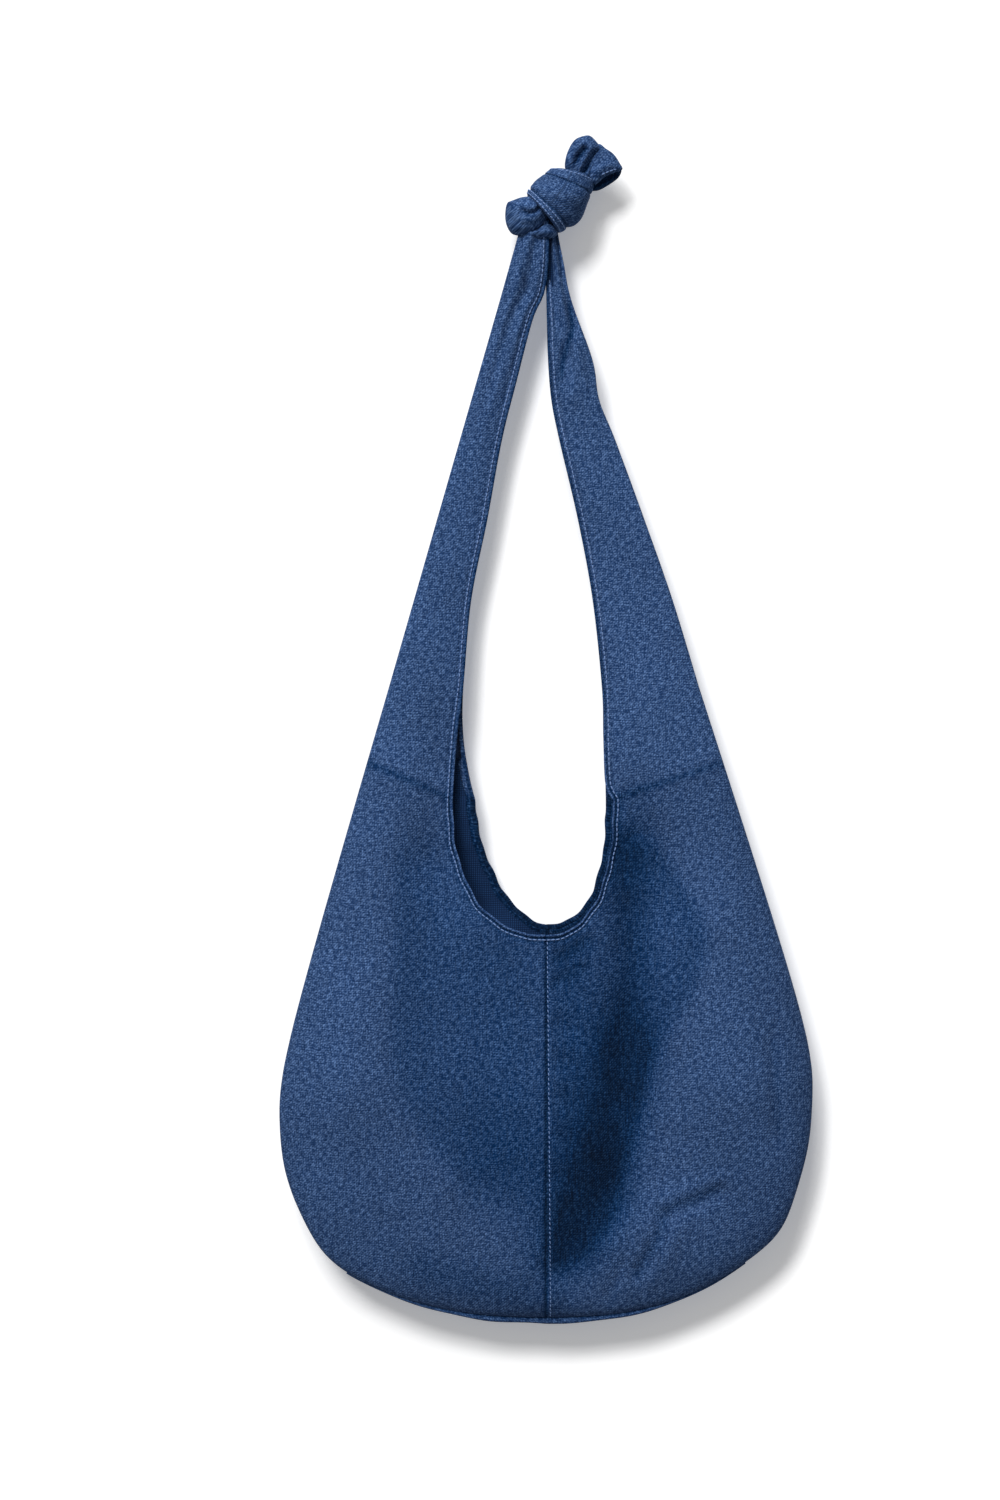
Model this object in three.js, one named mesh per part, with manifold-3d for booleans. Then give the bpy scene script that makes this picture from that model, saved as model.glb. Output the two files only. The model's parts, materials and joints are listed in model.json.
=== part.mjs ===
// Canvas crossbody bag: two folded halves sewn at the front, the back and the bottom, tied above.
// Millimetres, +Z up, the front faces -Y, and the origin is the crotch of the tied loop.
import * as THREE from 'three';
import { mergeVertices } from 'three/addons/utils/BufferGeometryUtils.js';
import Module from 'manifold-3d';

const wasm = await Module();
wasm.setup();

// Cloth, thread and the clearance between touching pieces
const CLOTH = 1;
const LINING = 0.6;
const GAP = 0.3;
const HEM_GAP = 0.6;
const THREAD_RADIUS = 0.4;

// Sewing
const HEM_WIDTH = 9;
const STITCH_INSET = 4;
const SEAM_STITCH_INSET = 2;
const ALLOWANCE_WIDTH = 10;
const LINING_INSET = 4;
const LINING_SHORT = 14;

// Body outline: distances from the centre seam, and drops below the crotch of the loop
const HIP_HALF_WIDTH = 200;
const HIP_DROP = { left: 617, right: 598 };
const HIP_ROUNDING = 40;
const BOTTOM_DROP = 772;
const BOTTOM_FULLNESS = 2.4;
const ROOT_OUTER_DROP = 355;
const ROOT_INNER_DROP = 384;

// Mouth: the front rim hangs lower and wider than the back rim
const FRONT_LIP_DROP = 484;
const FRONT_MOUTH = { left: 70, right: 50 };
const FRONT_RIM_FULLNESS = { left: 2.3, right: 2.3 };
const BACK_LIP_DROP = 478;
const BACK_MOUTH = { left: 53, right: 45 };
const BACK_RIM_FULLNESS = { left: 1.7, right: 2.5 };

// How far the cloth stands out of the strap plane
const FRONT_BELLY = 37;
const FRONT_RIM_DEPTH = 23;
const BACK_BELLY = 41;
const BACK_RIM_DEPTH = 20;
const BACK_FLAT = 28;
const ROOT_BELLY = 14;
const ROOT_RIM_DEPTH = 7;
const ROOTWARD_START = 0.35;
const RIMWARD_START = 0.4;

// Folds that hang in the front wall: [X, drop] line, how far the cloth is lifted, reach to the left and right
const FRONT_FOLDS = [
  { line: [[66, 432], [70, 504], [64, 579], [56, 665]], lift: -16, left: 20, right: 44 },
  { line: [[-80, 430], [-80, 594], [-42, 670]], lift: -6, left: 30, right: 38 },
  { line: [[-140, 430], [-147, 594]], lift: 4, left: 32, right: 34 },
  { line: [[132, 444], [142, 594]], lift: 4, left: 34, right: 34 },
];
const FOLD_EASE_DEPTH = 14;
const FOLD_DEEPEST_SHARE = 0.82;

// Rolled seam under the body
const ROLL_HEIGHT = 5.5;
const ROLL_END_HEIGHT = 1.6;
const ROLL_HALF_WIDTH = 2.2;
const ROLL_REACH = 150;

// Straps, from the top of the bending root to inside the knot
const STRAP_FOOT_DROP = 300;
const STRAP_TOP_DROP = -50;
const STRAP_FOOT_OUTER = { left: 118, right: 115 };
const STRAP_FOOT_INNER = { left: 62, right: 42 };
const STRAP_TOP_OUTER = { left: 18, right: 7 };
const STRAP_OUTER_POINTS = {
  left: [[75, 150], [32, 0]],
  right: [[95, 234], [74, 174], [52, 114], [40, 84], [35, 54], [19, 9], [13, -21]],
};
const STRAP_INNER_POINTS = {
  left: [[56, 234], [44, 174], [33, 114], [22, 70], [10, 24]],
  right: [[35, 234], [24, 174], [10, 114], [4, 84], [1.5, 54], [0.6, 24]],
};
const CROTCH_DROPS = [6, -8, -24];
const CROTCH_EASE = [0.2, 0.04, 0];
const FACING = 1.2;
const GATHERED_FACING = 6.4;
const GATHER_START = 0.6;
const FACING_INSET = 1;
const STITCHED_SHARES = [0.01, 0.9];

// Knot, as [across, height above the crotch]
const KNOT_CENTRE = [10, 63];
const KNOT_LEAN = 50;
const WRAP_LENGTH = 38;
const WRAP_RADIUS = 20;
const WRAP_END_RADIUS = 15.5;
const BORE_RADIUS = 10;
const BIGHT_CENTRE = [-14.5, 53];
const BIGHT_RADII = [16, 15, 14.5];

// Strap ends above the knot
const TAIL_HALF = 4;
const TAIL_BASE_HALF = 4;
const TAIL_TIP_HALF = 2.4;
const TAIL_ROUND_START = 0.8;
const TAIL_TIP_NARROWING = 0.62;
const TAIL_CORNER = 0.6;
const LEFT_TAIL = { lean: 79, length: 28, halfWidth: 10.5 };
const RIGHT_TAIL = { lean: 12, length: 28, halfWidth: 13 };

// Mesh fineness
const ALONG_STEPS = 18;
const ACROSS_STEPS = 8;
const ACROSS_CROWDING = 1.6;
const OUTLINE_STEPS = 10;
const STRAP_STEPS = 14;
const ROOT_STEPS = 4;
const BARREL_STEPS = 6;
const THREAD_SIDES = 5;
const ROLL_SIDES = 8;
const TAIL_SIDES = 12;
const ROUND_SIDES = 22;
const FOLD_TURNS = [-90, -45, 0, 45, 90];
const FLAT_SHARES = [0, 0.35, 0.7];
const TAIL_ROOT_TURNS = [-75, -50, -25, 0];
const TAIL_STATIONS = [0.2, 0.45, 0.7, 0.9, 1];
const NORMAL_STEP = 0.01;
const ROUNDING_SLACK = 1e-9;

// Colours and roughness
const CANVAS_BLUE = 0x38547e;
const LINING_BLUE = 0x1c2f4c;
const THREAD_BLUE = 0x7f9ac4;
const CANVAS_ROUGHNESS = 0.9;
const LINING_ROUGHNESS = 0.95;
const THREAD_ROUGHNESS = 0.7;

const SIDES = { left: -1, right: 1 };
const FACES = { front: -1, back: 1 };

const mix = (a, b, share) => a + (b - a) * share;
const clamp01 = (value) => Math.min(1, Math.max(0, value));
const smooth = (value) => clamp01(value) ** 2 * (3 - 2 * clamp01(value));
const radians = (degrees) => degrees * Math.PI / 180;
const shares = (steps) => Array.from({ length: steps + 1 }, (_, k) => k / steps);
const ALONG_ROWS = shares(ALONG_STEPS);
const ACROSS_ROWS = shares(ACROSS_STEPS).map((share) => share ** ACROSS_CROWDING);
const planCurve = (points) => new THREE.SplineCurve(points.map((point) => new THREE.Vector2(...point)));

// A quarter of an oval with adjustable fullness, from its middle at a drop to its side at another drop
function quarterOval(halfWidth, middleDrop, sideDrop, fullness) {
  return shares(OUTLINE_STEPS).map((share) => {
    const turn = share * Math.PI / 2;
    const across = halfWidth * Math.sin(turn) ** (2 / fullness);
    const fall = Math.max(Math.cos(turn), 0) ** (2 / fullness);
    return [across, mix(sideDrop, middleDrop, fall)];
  });
}

// The bottom curve up to the hip, then the straight fold up to the strap
function outerEdge(sideName) {
  const hip = HIP_DROP[sideName];
  const ease = (height) => Math.hypot(height, HIP_ROUNDING) - HIP_ROUNDING;
  const slope = (HIP_HALF_WIDTH - STRAP_FOOT_OUTER[sideName]) / ease(hip - STRAP_FOOT_DROP);
  const fold = shares(OUTLINE_STEPS).slice(1).map((share) => {
    const height = share * (hip - ROOT_OUTER_DROP);
    return [HIP_HALF_WIDTH - slope * ease(height), hip - height];
  });
  return planCurve([...quarterOval(HIP_HALF_WIDTH, BOTTOM_DROP, hip, BOTTOM_FULLNESS), ...fold]);
}

// How far one fold lifts the cloth at a place; round its ends the left reach passes into the right one
function foldLift(fold, place) {
  let nearest = Infinity;
  let leftness = 0;
  for (const [k, end] of fold.line.slice(1).entries()) {
    const start = new THREE.Vector2(...fold.line[k]);
    const run = new THREE.Vector2(...end).sub(start);
    const away = place.clone().sub(start);
    const share = clamp01(away.dot(run) / run.lengthSq());
    away.sub(run.clone().multiplyScalar(share));
    if (away.length() < nearest) {
      nearest = away.length();
      leftness = (1 + run.normalize().cross(away.normalize())) / 2;
    }
  }
  const reach = mix(fold.right, fold.left, leftness);
  return fold.lift * Math.exp(-((nearest / reach) ** 2));
}

// A quarter of the body: its plan spans from the outer edge to the rim, and from the centre seam to the root
class Quarter {
  constructor(sideName, faceName) {
    this.side = SIDES[sideName];
    this.face = FACES[faceName];
    const front = faceName === 'front';
    const mouth = (front ? FRONT_MOUTH : BACK_MOUTH)[sideName];
    const lip = front ? FRONT_LIP_DROP : BACK_LIP_DROP;
    const fullness = (front ? FRONT_RIM_FULLNESS : BACK_RIM_FULLNESS)[sideName];
    this.outer = outerEdge(sideName);
    this.rim = planCurve(quarterOval(mouth, lip, ROOT_INNER_DROP, fullness));
    this.belly = front ? FRONT_BELLY : BACK_BELLY;
    this.rimDepth = front ? FRONT_RIM_DEPTH : BACK_RIM_DEPTH;
    this.limit = front ? Infinity : BACK_FLAT;
    this.folds = front ? FRONT_FOLDS : [];
    this.turn = 1;
    this.turn = Math.sign(this.normal(0.5, 0.5).y * this.face);
    this.grid = ALONG_ROWS.map((along) => ACROSS_ROWS.map((across) => {
      return { point: this.at(along, across), normal: this.normal(along, across) };
    }));
  }

  plan(along, across) {
    const outer = this.outer.getPointAt(along);
    const rim = this.rim.getPointAt(along);
    const foot = this.outer.getPointAt(0);
    const lip = this.rim.getPointAt(0);
    const root = this.outer.getPointAt(1);
    const corner = this.rim.getPointAt(1);
    const ruled = outer.lerp(rim, across);
    const seams = foot.clone().lerp(lip, across).lerp(root.clone().lerp(corner, across), along);
    const corners = foot.clone().lerp(root, along).lerp(lip.clone().lerp(corner, along), across);
    return ruled.add(seams).sub(corners);
  }

  reach(along) {
    return this.outer.getPointAt(along).distanceTo(this.rim.getPointAt(along));
  }

  run(across) {
    return mix(this.outer.getLength(), this.rim.getLength(), across);
  }

  swell(along, across) {
    const rootward = smooth((along - ROOTWARD_START) / (1 - ROOTWARD_START));
    const belly = mix(this.belly, ROOT_BELLY, rootward);
    const rim = mix(this.rimDepth, ROOT_RIM_DEPTH, rootward);
    return mix(belly, rim, smooth((across - RIMWARD_START) / (1 - RIMWARD_START)));
  }

  place(plan, depth) {
    const across = Math.max(plan.x, 0) + GAP / 2;
    return new THREE.Vector3(this.side * across, this.face * (GAP / 2 + depth), -plan.y);
  }

  // The folds ease in from the outer edge and never reach the strap plane
  lift(plan, depth) {
    const place = new THREE.Vector2(this.side * plan.x, plan.y);
    const total = this.folds.reduce((sum, fold) => sum + foldLift(fold, place), 0);
    return Math.max(total * smooth(depth / FOLD_EASE_DEPTH), -FOLD_DEEPEST_SHARE * depth);
  }

  at(along, across) {
    const rise = Math.sqrt(1 - (1 - across) ** 2);
    const depth = Math.min(rise * this.swell(along, across), this.limit);
    const plan = this.plan(along, across);
    return this.place(plan, depth + this.lift(plan, depth));
  }

  normal(along, across) {
    const step = NORMAL_STEP;
    const ahead = this.at(Math.min(along + step, 1), across);
    const behind = this.at(Math.max(along - step, 0), across);
    const inward = this.at(along, Math.min(across + step, 1));
    const outward = this.at(along, Math.max(across - step, 0));
    const normal = ahead.sub(behind).cross(inward.sub(outward)).multiplyScalar(this.turn);
    if (along === 0) {
      normal.x = 0;
    }
    if (across === 0) {
      normal.y = 0;
    }
    return normal.normalize();
  }

  // A point above or below the faceted cloth, so that stacked layers never cross
  lifted(along, across, height) {
    const i = Math.min(Math.floor(along * ALONG_STEPS + ROUNDING_SLACK), ALONG_STEPS - 1);
    const j = Math.max(ACROSS_ROWS.findLastIndex((row) => row <= across && row < 1), 0);
    const alongShare = along * ALONG_STEPS - i;
    const acrossShare = (across - ACROSS_ROWS[j]) / (ACROSS_ROWS[j + 1] - ACROSS_ROWS[j]);
    const corner = (a, b) => {
      const { point, normal } = this.grid[i + a][j + b];
      return point.clone().addScaledVector(normal, height);
    };
    const lead = Math.max(alongShare, acrossShare);
    const trail = Math.min(alongShare, acrossShare);
    const between = alongShare > acrossShare ? corner(1, 0) : corner(0, 1);
    return corner(0, 0).multiplyScalar(1 - lead)
      .addScaledVector(between, lead - trail)
      .addScaledVector(corner(1, 1), trail);
  }

  // A sheet between two depths under the cloth, over rows of [along, across] places
  sheet(places, top, bottom) {
    const layer = (depth) => places.map((row) => row.map(([along, across]) =>
      this.lifted(along, across, -depth(across))));
    return solidBetween(layer(top), layer(bottom));
  }
}

// Turns a list of corner triples into a closed geometry that faces out
function closedGeometry(points, triples) {
  const position = points.flatMap((point) => point.toArray());
  let volume = 0;
  for (const [a, b, c] of triples) {
    volume += points[a].dot(points[b].clone().cross(points[c]));
  }
  const index = triples.flatMap(([a, b, c]) => (volume > 0 ? [a, b, c] : [a, c, b]));
  const geometry = new THREE.BufferGeometry();
  geometry.setAttribute('position', new THREE.Float32BufferAttribute(position, 3));
  geometry.setIndex(index);
  geometry.computeVertexNormals();
  return geometry;
}

// The solid between two grids of the same shape
function solidBetween(top, bottom) {
  const rows = top.length;
  const columns = top[0].length;
  const points = [...top.flat(), ...bottom.flat()];
  const upper = (i, j) => i * columns + j;
  const lower = (i, j) => rows * columns + i * columns + j;
  const triples = [];
  const quad = (a, b, c, d) => triples.push([a, b, c], [a, c, d]);
  for (let i = 0; i < rows - 1; i += 1) {
    for (let j = 0; j < columns - 1; j += 1) {
      quad(upper(i, j), upper(i + 1, j), upper(i + 1, j + 1), upper(i, j + 1));
      quad(lower(i, j), lower(i, j + 1), lower(i + 1, j + 1), lower(i + 1, j));
    }
    quad(upper(i, 0), lower(i, 0), lower(i + 1, 0), upper(i + 1, 0));
    quad(upper(i + 1, columns - 1), lower(i + 1, columns - 1), lower(i, columns - 1), upper(i, columns - 1));
  }
  for (let j = 0; j < columns - 1; j += 1) {
    quad(upper(0, j + 1), lower(0, j + 1), lower(0, j), upper(0, j));
    quad(upper(rows - 1, j), lower(rows - 1, j), lower(rows - 1, j + 1), upper(rows - 1, j + 1));
  }
  return closedGeometry(points, triples);
}

// Flat triangles that close the end of a loft, wound in the order of the section
function capTriples(section) {
  const normal = new THREE.Vector3();
  section.forEach((point, k) => {
    normal.add(point.clone().cross(section[(k + 1) % section.length]));
  });
  normal.normalize();
  const first = section[1].clone().sub(section[0]).projectOnPlane(normal).normalize();
  const second = normal.clone().cross(first);
  const flat = section.map((point) => new THREE.Vector2(point.dot(first), point.dot(second)));
  return THREE.ShapeUtils.triangulateShape(flat, []).map(([a, b, c]) => {
    const turn = flat[b].clone().sub(flat[a]).cross(flat[c].clone().sub(flat[a]));
    return turn > 0 ? [a, b, c] : [a, c, b];
  });
}

// A closed skin over a row of sections with the same number of points
function loft(sections) {
  const count = sections[0].length;
  const points = sections.flat();
  const triples = [];
  for (let i = 0; i < sections.length - 1; i += 1) {
    for (let k = 0; k < count; k += 1) {
      const next = (k + 1) % count;
      const a = i * count + k;
      const b = i * count + next;
      const c = (i + 1) * count + next;
      const d = (i + 1) * count + k;
      triples.push([a, b, c], [a, c, d]);
    }
  }
  const last = (sections.length - 1) * count;
  capTriples(sections[0]).forEach(([a, b, c]) => triples.push([a, c, b]));
  capTriples(sections.at(-1)).forEach(([a, b, c]) => triples.push([last + a, last + b, last + c]));
  return closedGeometry(points, triples);
}

// A thread is a thin rod along a row of points
function thread(points, steps) {
  const shape = new THREE.Shape();
  for (let k = 0; k < THREAD_SIDES; k += 1) {
    const angle = 2 * Math.PI * k / THREAD_SIDES;
    const x = THREAD_RADIUS * Math.cos(angle);
    const y = THREAD_RADIUS * Math.sin(angle);
    if (k === 0) {
      shape.moveTo(x, y);
    } else {
      shape.lineTo(x, y);
    }
  }
  const extrudePath = new THREE.CatmullRomCurve3(points);
  return new THREE.ExtrudeGeometry(shape, { steps, bevelEnabled: false, extrudePath });
}

function toManifold(geometry) {
  const bare = geometry.clone();
  bare.deleteAttribute('normal');
  bare.deleteAttribute('uv');
  const merged = mergeVertices(bare);
  return new wasm.Manifold(new wasm.Mesh({
    numProp: 3,
    vertProperties: new Float32Array(merged.attributes.position.array),
    triVerts: new Uint32Array(merged.index.array),
  }));
}

function fromManifold(manifold) {
  const mesh = manifold.getMesh();
  const geometry = new THREE.BufferGeometry();
  geometry.setAttribute('position', new THREE.BufferAttribute(mesh.vertProperties, 3));
  geometry.setIndex(new THREE.BufferAttribute(mesh.triVerts, 1));
  geometry.computeVertexNormals();
  return geometry;
}

const cut = (geometry, cutters) => fromManifold(
  cutters.reduce((solid, cutter) => solid.subtract(toManifold(cutter)), toManifold(geometry)));

const bag = new THREE.Group();

function addPiece(name, geometry, color, roughness) {
  const mesh = new THREE.Mesh(geometry, new THREE.MeshStandardMaterial({ color, roughness, metalness: 0 }));
  mesh.name = name;
  bag.add(mesh);
  return mesh;
}

// Body: canvas, hem and lining of each quarter
const quarters = {};
for (const face of Object.keys(FACES)) {
  for (const side of Object.keys(SIDES)) {
    const quarter = new Quarter(side, face);
    quarters[`${face}_${side}`] = quarter;
    const hemStart = (along) => 1 - HEM_WIDTH / quarter.reach(along);
    const liningEnd = (along) => 1 - (HEM_WIDTH + GAP) / quarter.reach(along);
    const wholePlaces = ALONG_ROWS.map((along) => ACROSS_ROWS.map((across) => [along, across]));
    const hemPlaces = ALONG_ROWS.map((along) => [[along, hemStart(along)], [along, 1]]);
    const linedRows = [...ALONG_ROWS.slice(0, -1), 1 - LINING_SHORT / quarter.outer.getLength()];
    const linedPlaces = linedRows.map((along) =>
      [...ACROSS_ROWS.slice(0, -1), liningEnd(along)].map((across) => [along, across]));
    const liningTop = (across) => (across === 0 ? LINING_INSET : 2 * (CLOTH + GAP));
    const panel = quarter.sheet(wholePlaces, () => 0, () => CLOTH);
    const hem = quarter.sheet(hemPlaces, () => CLOTH + HEM_GAP, () => 2 * CLOTH + HEM_GAP);
    const lining = quarter.sheet(linedPlaces, liningTop, (across) => liningTop(across) + LINING);
    addPiece(`${face}_${side}_panel`, panel, CANVAS_BLUE, CANVAS_ROUGHNESS);
    addPiece(`${face}_${side}_hem`, hem, CANVAS_BLUE, CANVAS_ROUGHNESS);
    addPiece(`${face}_${side}_lining`, lining, LINING_BLUE, LINING_ROUGHNESS);
  }
}

// Centre seams: the allowance turned to the right behind the canvas, and the topstitch that holds it
for (const face of Object.keys(FACES)) {
  const quarter = quarters[`${face}_right`];
  const underHem = (along) => 1 - (HEM_WIDTH + 2 * GAP) / quarter.reach(along);
  const rimRun = quarter.run(underHem(0));
  const allowancePlaces = [0, ALLOWANCE_WIDTH / 2, ALLOWANCE_WIDTH].map((width) => [
    ...ACROSS_ROWS.slice(1, -1).map((across) => [width / quarter.run(across), across]),
    [width / rimRun, underHem(width / rimRun)],
  ]);
  const allowance = quarter.sheet(allowancePlaces, () => CLOTH + GAP, () => 2 * CLOTH + GAP);
  addPiece(`centre_${face}_allowance`, allowance, CANVAS_BLUE, CANVAS_ROUGHNESS);
  const belowRimStitch = STITCH_INSET + 2 * THREAD_RADIUS + GAP;
  const stitchRows = [...ACROSS_ROWS.slice(1, -1), 1 - belowRimStitch / quarter.reach(0)];
  const row = stitchRows.map((across) =>
    quarter.lifted(SEAM_STITCH_INSET / quarter.run(across), across, GAP + THREAD_RADIUS));
  addPiece(`centre_${face}_topstitch`, thread(row, 2 * ACROSS_STEPS), THREAD_BLUE, THREAD_ROUGHNESS);
}

// Mouth: one row of topstitch along each rim, from root to root
for (const face of Object.keys(FACES)) {
  const rowOf = (quarter) => Array.from({ length: ALONG_STEPS }, (_, k) => {
    const along = k / ALONG_STEPS;
    return quarter.lifted(along, 1 - STITCH_INSET / quarter.reach(along), GAP + THREAD_RADIUS);
  });
  const row = [...rowOf(quarters[`${face}_left`]).reverse(), ...rowOf(quarters[`${face}_right`]).slice(1)];
  row[ALONG_STEPS - 1].x = 0;
  addPiece(`${face}_rim_topstitch`, thread(row, 2 * ALONG_STEPS), THREAD_BLUE, THREAD_ROUGHNESS);
}

// Rolled seam that hangs under the joined lower edges
function rollSections(quarter) {
  const reach = ROLL_REACH / quarter.outer.getLength();
  return Array.from({ length: ALONG_STEPS / 2 + 1 }, (_, i) => {
    const share = i / (ALONG_STEPS / 2);
    const along = reach * share;
    const edge = quarter.at(along, 0);
    const tangent = quarter.outer.getTangentAt(along);
    const outward = new THREE.Vector3(-quarter.side * tangent.y, 0, -tangent.x);
    const height = mix(ROLL_HEIGHT, ROLL_END_HEIGHT, share ** 2);
    return Array.from({ length: ROLL_SIDES }, (_, k) => {
      const angle = 2 * Math.PI * k / ROLL_SIDES;
      const drop = GAP + height / 2 * (1 + Math.sin(angle));
      const point = edge.clone().addScaledVector(outward, drop);
      point.y = ROLL_HALF_WIDTH * Math.cos(angle);
      if (i === 0) {
        point.x = 0;
      }
      return point;
    });
  });
}
const leftRoll = rollSections(quarters.front_left);
const rightRoll = rollSections(quarters.front_right);
addPiece('bottom_seam', loft([...leftRoll.reverse(), ...rightRoll.slice(1)]), CANVAS_BLUE, CANVAS_ROUGHNESS);

// Knot: the wrap leans over to the right, the bight bulges from its lower end
const lean = radians(KNOT_LEAN);
const knotAxis = new THREE.Vector3(Math.cos(lean), 0, Math.sin(lean));
const knotCentre = new THREE.Vector3(KNOT_CENTRE[0], 0, KNOT_CENTRE[1]);

function layAlongKnot(object) {
  object.quaternion.setFromUnitVectors(new THREE.Vector3(0, 1, 0), knotAxis);
  object.position.copy(knotCentre);
  return object;
}

function barrelProfile(extra) {
  return shares(BARREL_STEPS).map((share) => {
    const place = 2 * share - 1;
    const radius = mix(WRAP_END_RADIUS, WRAP_RADIUS, 1 - place ** 2) + extra;
    return new THREE.Vector2(radius, place * (WRAP_LENGTH / 2 + extra));
  });
}

const halfWrap = WRAP_LENGTH / 2;
const bore = [new THREE.Vector2(BORE_RADIUS, halfWrap), new THREE.Vector2(BORE_RADIUS, -halfWrap)];
const ringProfile = [...barrelProfile(0), ...bore, barrelProfile(0)[0]];
const wrapShape = new THREE.LatheGeometry(ringProfile, ROUND_SIDES);
layAlongKnot(addPiece('knot_wrap', wrapShape, CANVAS_BLUE, CANVAS_ROUGHNESS));
const coreShape = new THREE.CylinderGeometry(BORE_RADIUS - GAP, BORE_RADIUS - GAP, WRAP_LENGTH, ROUND_SIDES);
layAlongKnot(addPiece('knot_core', coreShape, CANVAS_BLUE, CANVAS_ROUGHNESS));

const solidProfile = barrelProfile(GAP);
const barrelEnds = [new THREE.Vector2(0, -halfWrap - GAP), new THREE.Vector2(0, halfWrap + GAP)];
const barrelRoom = new THREE.LatheGeometry([barrelEnds[0], ...solidProfile, barrelEnds[1]], ROUND_SIDES);
const barrelPlace = layAlongKnot(new THREE.Object3D());
barrelPlace.updateMatrix();
barrelRoom.applyMatrix4(barrelPlace.matrix);

function bightShape(extra) {
  const shape = new THREE.SphereGeometry(1, ROUND_SIDES, ROUND_SIDES / 2);
  shape.scale(...BIGHT_RADII.map((radius) => radius + extra));
  shape.translate(BIGHT_CENTRE[0], 0, BIGHT_CENTRE[1]);
  return shape;
}
addPiece('knot_bight', cut(bightShape(0), [barrelRoom]), CANVAS_BLUE, CANVAS_ROUGHNESS);
const knotRoom = [bightShape(GAP), barrelRoom];

// Strap ends above the knot: each root is round about its own bending line, so that it turns in place
function tailShape(tail) {
  const rootStations = TAIL_ROOT_TURNS.map(radians).map((turn) =>
    [TAIL_HALF * Math.sin(turn), TAIL_BASE_HALF, TAIL_HALF * Math.cos(turn)]);
  const blade = TAIL_STATIONS.map((share) => {
    const spread = Math.sin(Math.PI / 2 * Math.min(share / TAIL_ROUND_START, 1));
    const tipward = clamp01((share - TAIL_ROUND_START) / (1 - TAIL_ROUND_START));
    const narrowing = mix(1, TAIL_TIP_NARROWING, tipward);
    const width = mix(TAIL_BASE_HALF, tail.halfWidth, spread) * narrowing;
    return [share * tail.length, width, mix(TAIL_HALF, TAIL_TIP_HALF, share)];
  });
  const rounded = (value) => Math.sign(value) * Math.abs(value) ** TAIL_CORNER;
  return loft([...rootStations, ...blade].map(([place, width, half]) =>
    Array.from({ length: TAIL_SIDES }, (_, k) => {
      const angle = 2 * Math.PI * k / TAIL_SIDES;
      return new THREE.Vector3(place, half * rounded(Math.sin(angle)), width * rounded(Math.cos(angle)));
    })));
}

function addTail(name, tail, faceSign) {
  const swing = radians(Math.abs(tail.lean - KNOT_LEAN));
  const rise = halfWrap + GAP + TAIL_HALF + TAIL_BASE_HALF * Math.sin(swing);
  const mesh = addPiece(name, tailShape(tail), CANVAS_BLUE, CANVAS_ROUGHNESS);
  mesh.position.copy(knotCentre).addScaledVector(knotAxis, rise);
  mesh.position.y = faceSign * (TAIL_HALF + GAP / 2);
  mesh.rotation.y = -radians(tail.lean);
}
addTail('left_tail', LEFT_TAIL, FACES.front);
addTail('right_tail', RIGHT_TAIL, FACES.back);

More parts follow.
